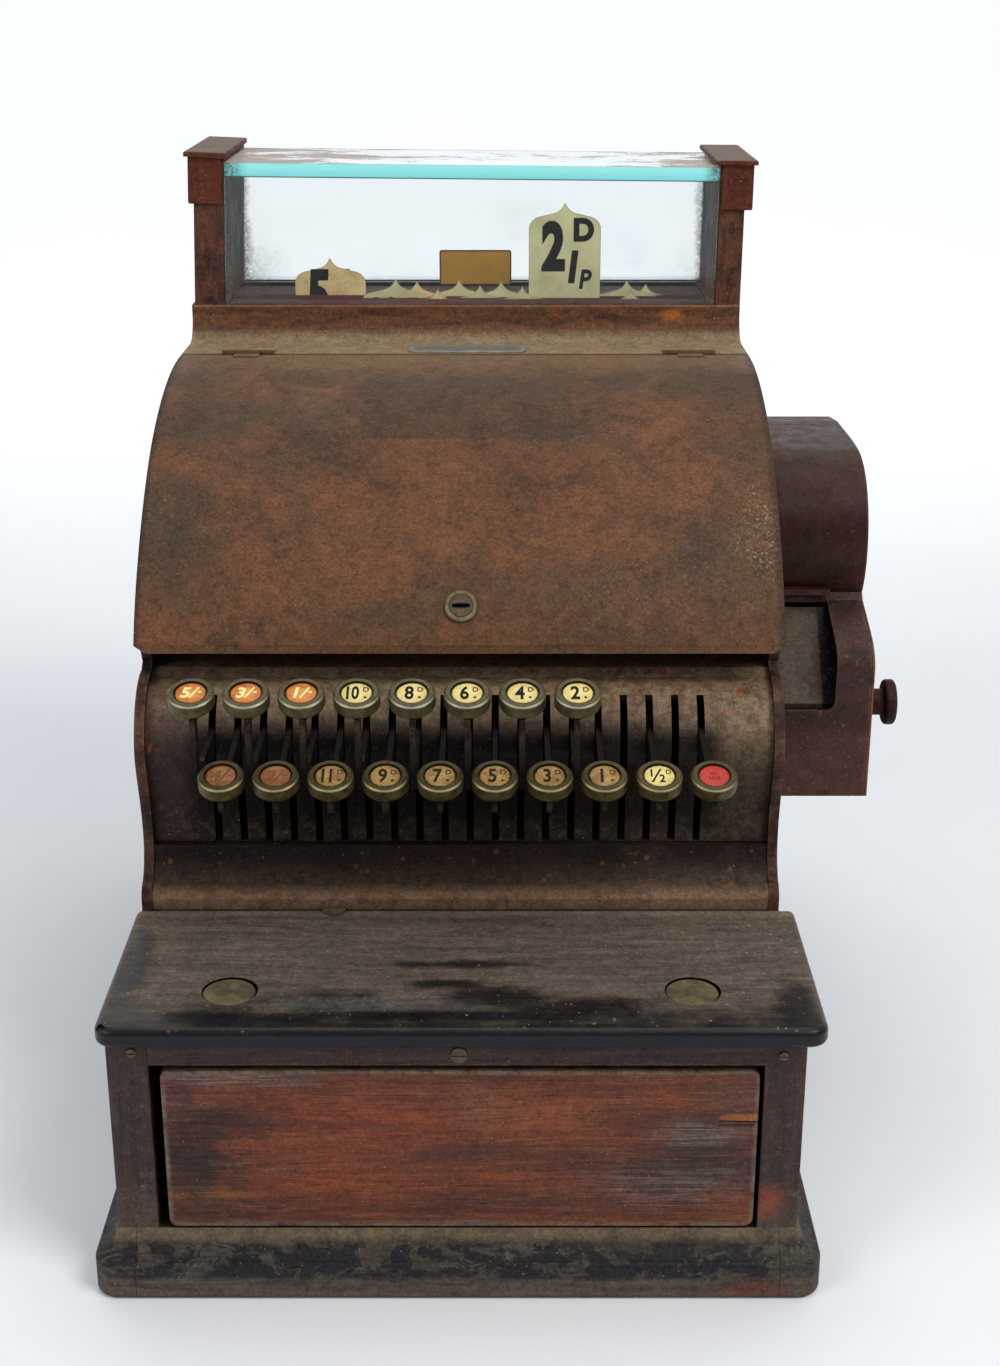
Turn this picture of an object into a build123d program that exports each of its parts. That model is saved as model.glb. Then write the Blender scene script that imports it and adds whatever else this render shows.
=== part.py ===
from build123d import *
import os
from math import sin, cos, tan, radians, hypot

os.makedirs("parts", exist_ok=True)

# Counter-top cash register on a wooden till drawer.
# Frame: X to the right, Y to the back, Z up, millimetres.
# Origin: on the floor, at the centre of the plinth's footprint.

# ------------------------------------------------------------------ driving dimensions
CASE_X = 160.0            # half width of the drawer case and of the cabinet
CASE_Y0, CASE_Y1 = -230.5, 236.0   # front and back faces of the drawer case
CASE_TOP = 135.5          # top of the case sides
BOARD = 19.0              # thickness of the case sides
OPEN_X = CASE_X - BOARD   # half width of the drawer opening
OPEN_Z0, OPEN_Z1 = 32.0, 119.7     # drawer opening, bottom and top
PLINTH_OUT = 11.8         # how far the plinth moulding stands out
PLINTH_TOP = 32.0
PLINTH_BACK = 242.3       # outer face of the plain rear strip
SHELF_T = 9.5             # shelf and case top board
FLOOR_Z = CASE_TOP + SHELF_T       # 145, floor of the metal cabinet
SHELF_X0, SHELF_X1 = -162.95, 167.95
SHELF_Y0, SHELF_Y1 = -242.5, -125.5

PLATE_T = 5.0             # cabinet side plates
IN_X = CASE_X - PLATE_T   # inner faces of the side plates
SHEET = 2.0               # lid sheet
CAB_BACK = 236.0
DECK_Z = 384.0
DECK_T = 2.5
HINGE_Y, HINGE_Z = 94.6, 384.0     # lid hinge line
RAIL_Y = 140.6            # front face of the indicator rail
RAIL_Z = 404.0

PITCH = 12.7              # spacing of key levers and panel slots
FIRST_SLOT = -122.15      # X of slot number 0
SLOTS = 20
SLOT_W = 3.7
SLOT_Z0, SLOT_Z1 = 174.5, 251.0
LEVER_T = 2.6
PIVOT_Y, PIVOT_Z = -47.0, 231.0    # key lever shaft
PIVOT_R = 3.0
RUN = 0.06                # running clearance on a radius
KEY_SWING = 11.3          # degrees a key turns from rest to fully down
CAP_R, CAP_H, CAP_TILT = 10.85, 7.3, 20.0
LABEL_R = 7.6
LOWER_CAP = (-173.0, 239.5)        # centre of a lower key's top face (Y, Z)
UPPER_CAP = (-167.5, 278.4)

FLAG_W, FLAG_T = 43.0, 0.9
FLAG_BOT = 345.0          # lower edge of a lowered flag's plate
FLAG_LAYER0, FLAG_STEP = 178.0, 3.5
ROD_R = 1.25
FOOT_Z = 235.3            # underside of a lowered flag's foot
LEVER_TOP = 235.0         # top edge of the rear arms

UNIT_X1 = 212.0           # outer face of the paper unit
KNOB_Y, KNOB_Z = -40.0, 225.0
SPOOL_Y, SPOOL_Z = 50.0, 250.0


def slot_x(i):
    return FIRST_SLOT + PITCH * i


def slab(x, y, z, mode=Mode.ADD):
    """A rectangular piece between the given limits."""
    with Locations(((x[0] + x[1]) / 2, (y[0] + y[1]) / 2, (z[0] + z[1]) / 2)):
        Box(x[1] - x[0], y[1] - y[0], z[1] - z[0], mode=mode)


def rod_x(x0, x1, y, z, r, mode=Mode.ADD):
    """A round piece along X."""
    with Locations(Location(((x0 + x1) / 2, y, z), (0, 90, 0))):
        Cylinder(r, x1 - x0, mode=mode)


def rod_z(x, y, z0, z1, r, mode=Mode.ADD):
    """A round piece along Z."""
    with Locations((x, y, (z0 + z1) / 2)):
        Cylinder(r, z1 - z0, mode=mode)


def inset(pts, d):
    """The same open profile moved d to the right of its direction of travel."""
    out = []
    for i, (a, b) in enumerate(pts):
        p, q = pts[max(i - 1, 0)], pts[min(i + 1, len(pts) - 1)]
        tx, ty = q[0] - p[0], q[1] - p[1]
        n = hypot(tx, ty)
        out.append((a + d * ty / n, b - d * tx / n))
    return out


def write(part, name):
    part.label = name
    export_step(part, "parts/" + name + ".step")


# ------------------------------------------------------------------ plinth
# Profile of the moulding: (distance out from the case, height).
P_OUT = PLINTH_OUT

with BuildPart() as plinth_front:
    # front strip, between the two side strips
    with BuildSketch(Plane.YZ.offset(-151.4)):
        with BuildLine():
            Polyline((CASE_Y0, PLINTH_TOP), (CASE_Y0, 0.0), (CASE_Y0 - P_OUT + 2.8, 0.0))
            ThreePointArc((CASE_Y0 - P_OUT + 2.8, 0.0), (CASE_Y0 - P_OUT + 0.8, 0.8), (CASE_Y0 - P_OUT, 2.8))
            Line((CASE_Y0 - P_OUT, 2.8), (CASE_Y0 - P_OUT, 17.5))
            ThreePointArc((CASE_Y0 - P_OUT, 17.5), (CASE_Y0 - P_OUT + 0.6, 19.3), (CASE_Y0 - P_OUT + 2.2, 20.2))
            ThreePointArc((CASE_Y0 - P_OUT + 2.2, 20.2), (CASE_Y0 - 4.4, 24.2), (CASE_Y0 - 1.2, 31.0))
            Line((CASE_Y0 - 1.2, 31.0), (CASE_Y0, PLINTH_TOP))
        make_face()
    extrude(amount=302.8)
with BuildPart() as plinth_sides:
    # side strips with their rounded front corners
    for s in (-1, 1):
        with BuildSketch(Plane.XZ.offset(-CASE_Y0)):
            with BuildLine():
                Polyline((s * CASE_X, PLINTH_TOP), (s * CASE_X, 0.0), (s * (CASE_X + P_OUT - 2.8), 0.0))
                ThreePointArc((s * (CASE_X + P_OUT - 2.8), 0.0), (s * (CASE_X + P_OUT - 0.8), 0.8), (s * (CASE_X + P_OUT), 2.8))
                Line((s * (CASE_X + P_OUT), 2.8), (s * (CASE_X + P_OUT), 17.5))
                ThreePointArc((s * (CASE_X + P_OUT), 17.5), (s * (CASE_X + P_OUT - 0.6), 19.3), (s * (CASE_X + P_OUT - 2.2), 20.2))
                ThreePointArc((s * (CASE_X + P_OUT - 2.2), 20.2), (s * (CASE_X + 4.4), 24.2), (s * (CASE_X + 1.2), 31.0))
                Line((s * (CASE_X + 1.2), 31.0), (s * CASE_X, PLINTH_TOP))
            make_face()
        extrude(amount=-(PLINTH_BACK - 6.3 - CASE_Y0))
        with BuildSketch(Plane.XZ.offset(-CASE_Y0)):
            with BuildLine():
                Polyline((s * CASE_X, PLINTH_TOP), (s * CASE_X, 0.0), (s * (CASE_X + P_OUT - 2.8), 0.0))
                ThreePointArc((s * (CASE_X + P_OUT - 2.8), 0.0), (s * (CASE_X + P_OUT - 0.8), 0.8), (s * (CASE_X + P_OUT), 2.8))
                Line((s * (CASE_X + P_OUT), 2.8), (s * (CASE_X + P_OUT), 17.5))
                ThreePointArc((s * (CASE_X + P_OUT), 17.5), (s * (CASE_X + P_OUT - 0.6), 19.3), (s * (CASE_X + P_OUT - 2.2), 20.2))
                ThreePointArc((s * (CASE_X + P_OUT - 2.2), 20.2), (s * (CASE_X + 4.4), 24.2), (s * (CASE_X + 1.2), 31.0))
                Line((s * (CASE_X + 1.2), 31.0), (s * CASE_X, PLINTH_TOP))
            make_face()
        revolve(axis=Axis((s * CASE_X, CASE_Y0, 0), (0, 0, -s)), revolution_arc=90)
        x0 = -CASE_X if s < 0 else 151.6
        with BuildSketch(Plane.YZ.offset(x0)):
            with BuildLine():
                Polyline((CASE_Y0, PLINTH_TOP), (CASE_Y0, 0.0), (CASE_Y0 - P_OUT + 2.8, 0.0))
                ThreePointArc((CASE_Y0 - P_OUT + 2.8, 0.0), (CASE_Y0 - P_OUT + 0.8, 0.8), (CASE_Y0 - P_OUT, 2.8))
                Line((CASE_Y0 - P_OUT, 2.8), (CASE_Y0 - P_OUT, 17.5))
                ThreePointArc((CASE_Y0 - P_OUT, 17.5), (CASE_Y0 - P_OUT + 0.6, 19.3), (CASE_Y0 - P_OUT + 2.2, 20.2))
                ThreePointArc((CASE_Y0 - P_OUT + 2.2, 20.2), (CASE_Y0 - 4.4, 24.2), (CASE_Y0 - 1.2, 31.0))
                Line((CASE_Y0 - 1.2, 31.0), (CASE_Y0, PLINTH_TOP))
            make_face()
        extrude(amount=CASE_X - 151.6)
with BuildPart() as plinth_rear:
    # plain rear strip
    slab((-CASE_X - P_OUT, CASE_X + P_OUT), (CASE_Y1, PLINTH_BACK), (0, 28))
write(Compound(children=[*plinth_front.part.solids(), *plinth_sides.part.solids(), *plinth_rear.part.solids()]),
      "plinth_mouldings")

# ------------------------------------------------------------------ drawer case
with BuildPart() as case:
    for s in (-1, 1):
        xs = (OPEN_X, CASE_X) if s > 0 else (-CASE_X, -OPEN_X)
        slab(xs, (CASE_Y0, CASE_Y1), (0, CASE_TOP))
    fillet(case.edges().filter_by(Axis.Z).group_by(Axis.Y)[0], 0.9)
with BuildPart() as case_rails:
    slab((-OPEN_X, OPEN_X), (CASE_Y0 + 0.4, CASE_Y0 + 24), (OPEN_Z1, CASE_TOP))          # top rail
    slab((-OPEN_X, OPEN_X), (CASE_Y0, CASE_Y0 + 24), (0, OPEN_Z0 - 0.5))           # bottom rail
with BuildPart() as case_floor:
    slab((-OPEN_X, OPEN_X), (CASE_Y0 + 24, CASE_Y1 - 15), (16, 31.5))
with BuildPart() as case_back:
    slab((-OPEN_X, OPEN_X), (CASE_Y1 - 15, CASE_Y1), (0, CASE_TOP))
with BuildPart() as case_top:
    slab((-CASE_X, CASE_X), (SHELF_Y1, CASE_Y1), (CASE_TOP, FLOOR_Z))
with BuildPart() as case_guides:
    slab((-OPEN_X, -134.2), (CASE_Y0 + 24, 210), (31.5, 47))
    slab((137.4, OPEN_X), (CASE_Y0 + 24, 210), (31.5, 47))
with BuildPart() as case_batten:
    slab((-OPEN_X, OPEN_X), (-12, 12), (0, 16))          # cross batten under the floor
case_solids = Compound(children=[*case.part.solids(), *case_rails.part.solids(), *case_floor.part.solids(),
                                 *case_back.part.solids(), *case_top.part.solids(), *case_guides.part.solids(),
                                 *case_batten.part.solids()])
write(case_solids, "drawer_case")

# ------------------------------------------------------------------ shelf board
with BuildPart() as shelf:
    with BuildSketch(Plane.XY.offset(CASE_TOP)):
        with Locations(((SHELF_X0 + SHELF_X1) / 2, (SHELF_Y0 + SHELF_Y1) / 2)):
            Rectangle(SHELF_X1 - SHELF_X0, SHELF_Y1 - SHELF_Y0)
    extrude(amount=SHELF_T)
    fillet(shelf.edges().filter_by(Axis.Z).group_by(Axis.Y)[0], 9)
    fillet(shelf.faces().sort_by(Axis.Z)[-1].edges().filter_by(lambda e: e.center().Y < SHELF_Y1 - 1), 3.6)
    fillet(shelf.faces().sort_by(Axis.Z)[0].edges().filter_by(lambda e: e.center().Y < SHELF_Y1 - 1), 2.6)
    for x in (-105.7, 108.9):
        rod_z(x + 0.4, -206.5, FLOOR_Z - 3.2, FLOOR_Z + 1, 13.1, Mode.SUBTRACT)
    # small chip broken out of the front left corner
    with Locations(Location((-161.8, -240.6, FLOOR_Z - 0.6), (12, -14, 42))):
        Box(9, 4.4, 5, mode=Mode.SUBTRACT)
write(shelf.part, "shelf_board")

# ------------------------------------------------------------------ cabinet side plates
LID_PTS = [(-101.0, 278.0), (-97.4, 284.9), (-89.1, 297.3), (-78.9, 309.6), (-67.0, 321.9), (-46.9, 339.4),
           (-21.8, 356.5), (0.2, 367.1), (27.0, 376.2), (52.0, 381.5), (74.0, 383.7), (93.9, 384.0)]
BULGE = [(-117.6, 158.2), (-113.2, 163.2), (-109.9, 170.5), (-108.9, 179.0), (-110.1, 192.0), (-113.4, 206.0),
         (-116.6, 218.5), (-117.3, 227.0), (-115.1, 236.5), (-109.1, 247.0), (-100.8, 254.4), (-84.6, 259.0)]
LID_UNDER = inset(LID_PTS, SHEET + 1.0)

with BuildPart() as plates:
    with BuildSketch(Plane.YZ.offset(-CASE_X)):
        with BuildLine():
            Line((-124.3, FLOOR_Z), (-124.5, 151.0))
            ThreePointArc((-124.5, 151.0), (-122.6, 155.2), BULGE[0])
            Spline(*BULGE)
            Polyline(BULGE[-1], (-80.0, 262.0), (-89.0, 277.5), LID_UNDER[1])
            Spline(*LID_UNDER[1:])
            Polyline(LID_UNDER[-1], (HINGE_Y, LID_UNDER[-1][1]), (HINGE_Y, DECK_Z - DECK_T), (CAB_BACK, DECK_Z - DECK_T),
                     (CAB_BACK, FLOOR_Z), (-124.3, FLOOR_Z))
        make_face()
    extrude(amount=PLATE_T)
    mirror(plates.part, about=Plane.YZ)
write(plates.part, "side_plates")

# ------------------------------------------------------------------ keyboard panel with its lever slots
PANEL_OUT = [(-105.1, 174.2)] + inset(BULGE, 4.0)[3:-1] + [(-84.2, 254.9)]
PANEL_IN = inset(PANEL_OUT, 1.6)
with BuildPart() as panel:
    with BuildSketch(Plane.YZ.offset(-IN_X)):
        with BuildLine():
            Spline(*PANEL_OUT)
            Polyline(PANEL_OUT[-1], (-79.0, 258.6), (-60.0, 258.6), (-60.0, 257.0), (-78.4, 257.0), PANEL_IN[-1])
            Spline(*PANEL_IN[::-1])
            Line(PANEL_IN[0], PANEL_OUT[0])
        make_face()
    extrude(amount=2 * IN_X)
    for i in range(SLOTS):
        slab((slot_x(i) - SLOT_W / 2, slot_x(i) + SLOT_W / 2), (-125, -96), (SLOT_Z0, SLOT_Z1), Mode.SUBTRACT)
write(panel.part, "keyboard_panel")

# ------------------------------------------------------------------ toe cove under the panel
with BuildPart() as toe:
    with BuildSketch(Plane.YZ.offset(-IN_X)):
        with BuildLine():
            Line((-123.5, FLOOR_Z), (-123.8, 150.8))
            ThreePointArc((-123.8, 150.8), (-122.0, 154.7), (-117.0, 157.6))
            Spline((-117.0, 157.6), (-112.6, 162.8), (-109.4, 169.5), (-108.7, 173.8))
            Polyline((-108.7, 173.8), (-97.0, 173.8), (-97.0, FLOOR_Z), (-123.5, FLOOR_Z))
        make_face()
    extrude(amount=2 * IN_X)
write(toe.part, "toe_cove")

# ------------------------------------------------------------------ back of the cabinet
with BuildPart() as back:
    slab((-CASE_X, CASE_X), (CAB_BACK, CAB_BACK + 2), (FLOOR_Z, RAIL_Z - 0.2))
    for z in (170, 380):
        for x in (-140, 0, 140):
            with Locations(Location((x, CAB_BACK + 2, z), (-90, 0, 0))):
                Cylinder(3.2, 3.0)
write(back.part, "back_panel")

# ------------------------------------------------------------------ indicator rail: deck, cove and rail in one sheet
KNUCKLES = (-122.5, 127.0)
with BuildPart() as rail:
    with BuildSketch(Plane.YZ.offset(-CASE_X)):
        with BuildLine():
            Polyline((95.4, DECK_Z - DECK_T), (95.4, DECK_Z), (125.6, DECK_Z))
            ThreePointArc((125.6, DECK_Z), (136.2, 388.4), (RAIL_Y, 399.0))
            Polyline((RAIL_Y, 399.0), (RAIL_Y, RAIL_Z), (150.0, RAIL_Z), (150.0, RAIL_Z - 2.2),
                     (RAIL_Y + DECK_T, RAIL_Z - 2.2), (RAIL_Y + DECK_T, 399.0))
            ThreePointArc((RAIL_Y + DECK_T, 399.0), (138.0, 386.6), (125.6, DECK_Z - DECK_T))
            Line((125.6, DECK_Z - DECK_T), (95.4, DECK_Z - DECK_T))
        make_face()
    extrude(amount=2 * CASE_X)
    for s in (-1, 1):
        a, b = sorted((s * CASE_X, s * (CASE_X - DECK_T)))
        slab((a, b), (125.6, CAB_BACK), (DECK_Z - DECK_T, RAIL_Z - 2.2))
        a, b = sorted((s * CASE_X, s * 142.5))
        slab((a, b), (RAIL_Y, CAB_BACK), (RAIL_Z - 2.2, RAIL_Z))
    # the corner in front of the end flanges is open above the cove
    for s in (-1, 1):
        a, b = sorted((s * (CASE_X + 1), s * (CASE_X - DECK_T)))
        with BuildSketch(Plane.YZ.offset(a)):
            with BuildLine():
                Polyline((125.6, DECK_Z), (125.6, RAIL_Z + 1), (RAIL_Y, RAIL_Z + 1), (RAIL_Y, 399.0))
                ThreePointArc((RAIL_Y, 399.0), (136.2, 388.4), (125.6, DECK_Z))
            make_face()
        extrude(amount=b - a, mode=Mode.SUBTRACT)
    for x in KNUCKLES:
        slab((x - 7.4, x + 7.4), (95.0, 98.0), (DECK_Z - 3, DECK_Z + 1), Mode.SUBTRACT)
        for a, b in ((x - 14.5, x - 7.4), (x + 7.4, x + 14.5)):
            rod_x(a, b, HINGE_Y, HINGE_Z, 2.25)
            slab((a, b), (HINGE_Y, 106.0), (HINGE_Z - 0.4, HINGE_Z + 0.8))
        rod_x(x - 14.5, x + 14.5, HINGE_Y, HINGE_Z, 1.25)
write(rail.part, "indicator_rail")

# ------------------------------------------------------------------ wooden end boards with capital blocks and caps
# The left board leans inwards and the right one stands lower, so the top plate slopes down to the right.
LEAN_L, LEAN_R = 2.3, 0.4                # degrees about the outer foot of each board
INNER_L, INNER_R = -140.8, 145.2         # inner faces at the foot
boards = []
for outer, inner, top, low, out, over, cap_t, turn in (
        (-158.3, INNER_L, 488.3, 462.0, 2.8, 1.5, 2.9, LEAN_L), (160.0, INNER_R, 483.6, 458.3, 4.2, 2.8, 2.6, LEAN_R)):
    s = 1 if outer > 0 else -1
    with BuildPart() as board:
        slab(tuple(sorted((outer, inner))), (RAIL_Y, CAB_BACK), (RAIL_Z - 3, top))
        fillet(board.edges().filter_by(Axis.Z).group_by(Axis.Y)[0], 0.8)
    with BuildPart() as block:
        slab(tuple(sorted((inner + s * 1.0, outer + s * out))), (RAIL_Y - 2.8, RAIL_Y), (low, top))
        slab(tuple(sorted((outer, outer + s * out))), (RAIL_Y, CAB_BACK), (low, top))
        fillet(block.edges().filter_by(Axis.Z).group_by(Axis.Y)[0], 0.9)
        chamfer(block.faces().filter_by(Axis.Z).group_by(Axis.Z)[0].edges().filter_by(lambda e: e.center().Y < RAIL_Y - 2.5), 0.8)
    with BuildPart() as cap:
        slab(tuple(sorted((inner - s * over, outer + s * (out + 2.0)))), (RAIL_Y - 4.8, CAB_BACK + 2), (top, top + cap_t))
        fillet(cap.faces().filter_by(Axis.Z).group_by(Axis.Z)[-1].edges(), 1.1)
    spin = Pos(outer, 0, RAIL_Z) * Rot(0, turn, 0) * Pos(-outer, 0, -RAIL_Z)
    level = Pos(0, 190, RAIL_Z - 10) * Box(400, 130, 20)
    boards += (spin * board.part - level).solids()
    boards += (spin * block.part).solids() + (spin * cap.part).solids()
write(Compound(children=boards), "end_posts")

# ------------------------------------------------------------------ glass: front pane, back pane and thick top plate
PLATE_TURN, PLATE_THICK, PLATE_MID = 0.57, 7.9, 479.3


def face_l(z):
    return INNER_L + (z - RAIL_Z) * tan(radians(LEAN_L)) + 0.2


def face_r(z):
    return INNER_R + (z - RAIL_Z) * tan(radians(LEAN_R)) - 0.2


def plate_under(x):
    return PLATE_MID - x * tan(radians(PLATE_TURN)) - PLATE_THICK / 2 / cos(radians(PLATE_TURN))


z_l, z_r = plate_under(-138.0), plate_under(145.5)
panes = []
for y in (142.0, 226.5):
    with BuildPart() as pane:
        with BuildSketch(Plane.XZ.offset(-y - 3.0)):
            Polygon((face_l(RAIL_Z), RAIL_Z), (face_r(RAIL_Z), RAIL_Z), (face_r(z_r), plate_under(face_r(z_r))),
                    (face_l(z_l), plate_under(face_l(z_l))), align=None)
        extrude(amount=3.0)
    panes += pane.part.solids()
x_l, x_r = face_l(z_l) + 0.3, face_r(z_r)
with BuildPart() as glass_top:
    slab((x_l, x_r), (RAIL_Y, CAB_BACK), (-PLATE_THICK / 2, PLATE_THICK / 2))
    chamfer(glass_top.edges().filter_by(Axis.X), 0.5)
panes += (Pos(0, 0, PLATE_MID) * Rot(0, PLATE_TURN, 0) * glass_top.part).solids()
write(Compound(children=panes), "glass_panes")

# ------------------------------------------------------------------ lever frame: shaft, bearing plates and rest bar
with BuildPart() as frame:
    for s in (-1, 1):
        a, b = sorted((s * IN_X, s * (IN_X - 5)))
        slab((a, b), (-58, -36), (FLOOR_Z, 243))
        a, b = sorted((s * IN_X, s * (IN_X - 22)))
        slab((a, b), (-62, -32), (FLOOR_Z, FLOOR_Z + 3))
        a, b = sorted((s * IN_X, s * (IN_X - 5)))
        slab((a, b), (140, 160), (FLOOR_Z, 223.5))
        a, b = sorted((s * IN_X, s * (IN_X - 22)))
        slab((a, b), (136, 164), (FLOOR_Z, FLOOR_Z + 3))
    slab((-IN_X + 5, IN_X - 5), (146, 154), (213.5, 223.5))
    rod_x(-IN_X + 1, IN_X - 1, PIVOT_Y, PIVOT_Z, PIVOT_R)
write(frame.part, "lever_frame")

# ------------------------------------------------------------------ key levers
# (slot number, name): even slots carry the upper row up to slot 14, the rest the lower row.
KEYS = [(0, "5s"), (1, "4s"), (2, "3s"), (3, "2s"), (4, "1s"), (5, "11d"), (6, "10d"), (7, "9d"), (8, "8d"),
        (9, "7d"), (10, "6d"), (11, "5d"), (12, "4d"), (13, "3d"), (14, "2d"), (15, "1d"), (17, "halfd"),
        (19, "no_sale")]
NX, NZ = -sin(radians(CAP_TILT)), cos(radians(CAP_TILT))     # cap axis in (Y, Z)

for i, tag in KEYS:
    x = slot_x(i)
    upper = i % 2 == 0 and i <= 14
    top = UPPER_CAP if upper else LOWER_CAP
    foot = (top[0] - NX * CAP_H, top[1] - NZ * CAP_H)
    with BuildPart() as key:
        with BuildSketch(Plane.YZ.offset(x - LEVER_T / 2)):
            with BuildLine():
                if upper:
                    Polyline((-40.0, 225.5), (-112.0, 225.0), (-152.0, 224.6))
                    Spline((-152.0, 224.6), (-161.5, 228.0), (-167.2, 236.5), (-168.6, 248.0), (-168.2, 265.0))
                    Line((-168.2, 265.0), (-160.6, 266.5))
                    Spline((-160.6, 266.5), (-160.8, 249.0), (-158.6, 241.5), (-153.0, 237.4), (-146.0, 236.6))
                    Polyline((-146.0, 236.6), (-112.0, 236.6), (-40.0, 237.0), (-40.0, 225.5))
                else:
                    Polyline((-40.0, 225.5), (-112.0, 225.0), (-175.5, 221.5))
                    ThreePointArc((-175.5, 221.5), (-178.0, 225.0), (-176.0, 228.8))
                    Polyline((-176.0, 228.8), (-164.0, 231.8), (-112.0, 236.6), (-40.0, 237.0), (-40.0, 225.5))
            make_face()
            with BuildLine():
                Polyline((-47.0, 224.0), (204.0, 226.5))
                ThreePointArc((204.0, 226.5), (209.5, 228.5), (212.0, 233.0))
                Polyline((212.0, 233.0), (212.0, LEVER_TOP), (-47.0, LEVER_TOP), (-47.0, 224.0))
            make_face()
            with Locations((PIVOT_Y, PIVOT_Z)):
                Circle(8.0)
                Circle(PIVOT_R + RUN, mode=Mode.SUBTRACT)
        extrude(amount=LEVER_T)
        cap_plane = Plane(origin=(x, foot[0], foot[1]), x_dir=(1, 0, 0), z_dir=(0, NX, NZ))
        with BuildSketch(cap_plane.offset(-8.0 if upper else -4.5)):
            Circle(2.4)
        extrude(amount=8.5 if upper else 5.0)
        with BuildSketch(cap_plane):
            Circle(CAP_R)
        extrude(amount=CAP_H)
        top_edges = key.edges().filter_by(GeomType.CIRCLE).filter_by(lambda e: abs(e.radius - CAP_R) < 1e-3)
        up = max(top_edges, key=lambda e: e.center().Z)
        low = min(top_edges, key=lambda e: e.center().Z)
        chamfer(up, 1.1)
        fillet(low, 0.8)
        with BuildSketch(cap_plane.offset(CAP_H - 0.9)):
            Circle(LABEL_R)
        extrude(amount=2.0, mode=Mode.SUBTRACT)
    write(key.part, "key_" + tag)

# ------------------------------------------------------------------ indicator flags
# Each flag is a plate on a rod; its foot stands over the rear arm of its lever.
CRANKED = {0: -83.1, 15: 98.2, 19: 108.4}     # flags whose plate stands beside its rod
RAISED = {0: 12.8, 14: 46.0}             # how far two flags stand above their lowered position
# Tips of the flags as they stand. The hand-cut plates differ; those not listed stay below the window floor.
TIPS = {0: 423.4, 6: 412.4, 7: 410.5, 8: 407.0, 9: 410.7, 10: 408.7, 11: 410.4, 12: 408.5, 14: 457.3, 15: 406.9,
        17: 410.5, 19: 408.0}


def flag_layer(i):
    k = 4 if i in (0, 19) else 0 if i == 15 else (0, 3, 1, 2)[i % 4]
    return FLAG_LAYER0 + FLAG_STEP * k


for i, tag in KEYS:
    x = slot_x(i)
    cx = CRANKED.get(i, x + 3.0)
    y = flag_layer(i)
    lift = RAISED.get(i, 0.0)
    tip = TIPS.get(i, 398.6)
    bot = FLAG_BOT + lift
    h = FLAG_W / 2
    with BuildPart() as flag:
        with BuildSketch(Plane.XZ.offset(-(y + FLAG_T / 2))):
            with BuildLine():
                Polyline((cx - h, bot), (cx + h, bot), (cx + h, tip - 15.5))
                ThreePointArc((cx + h, tip - 15.5), (cx + h - 2.4, tip - 9.8), (cx + h - 7.4, tip - 7.6))
                Line((cx + h - 7.4, tip - 7.6), (cx + 6.2, tip - 5.6))
                ThreePointArc((cx + 6.2, tip - 5.6), (cx + 2.7, tip - 3.6), (cx + 0.4, tip))
                Line((cx + 0.4, tip), (cx - 0.4, tip))
                ThreePointArc((cx - 0.4, tip), (cx - 2.7, tip - 3.6), (cx - 6.2, tip - 5.6))
                Line((cx - 6.2, tip - 5.6), (cx - h + 7.4, tip - 7.6))
                ThreePointArc((cx - h + 7.4, tip - 7.6), (cx - h + 2.4, tip - 9.8), (cx - h, tip - 15.5))
                Line((cx - h, tip - 15.5), (cx - h, bot))
            make_face()
        extrude(amount=FLAG_T)
        if i in (0, 15):
            slab((x - 3, cx - h + 1), (y - FLAG_T / 2, y + FLAG_T / 2), (bot, bot + 9))
        rod_z(x, y, FOOT_Z + lift + 2, bot + 4, ROD_R)
        slab((x - 3, x + 3), (y - 2.5, y + 2.5), (FOOT_Z + lift, FOOT_Z + lift + 4.5))
    write(flag.part, "flag_" + tag)

# ------------------------------------------------------------------ flag guide: slotted floor of the window and two rod guides
with BuildPart() as guide:
    slab((-157.0, 157.0), (150.5, 226.0), (398.3, 401.6))
    for k in range(5):
        y = FLAG_LAYER0 + FLAG_STEP * k
        for xs in ([(-141.5, 141.5)] if k < 4 else [(-125.8, -60.6), (86.0, 131.0)]):
            slab(xs, (y - 1.0, y + 1.0), (397, 403), Mode.SUBTRACT)
with BuildPart() as guide_plates:
    for z in (300.0, 333.0):
        slab((-IN_X, IN_X), (170.0, 200.0), (z, z + 3.0))
    for i, tag in KEYS:
        rod_z(slot_x(i), flag_layer(i), 299.0, 337.0, ROD_R + 0.35, Mode.SUBTRACT)
write(Compound(children=[*guide.part.solids(), *guide_plates.part.solids()]), "flag_guide")

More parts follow.
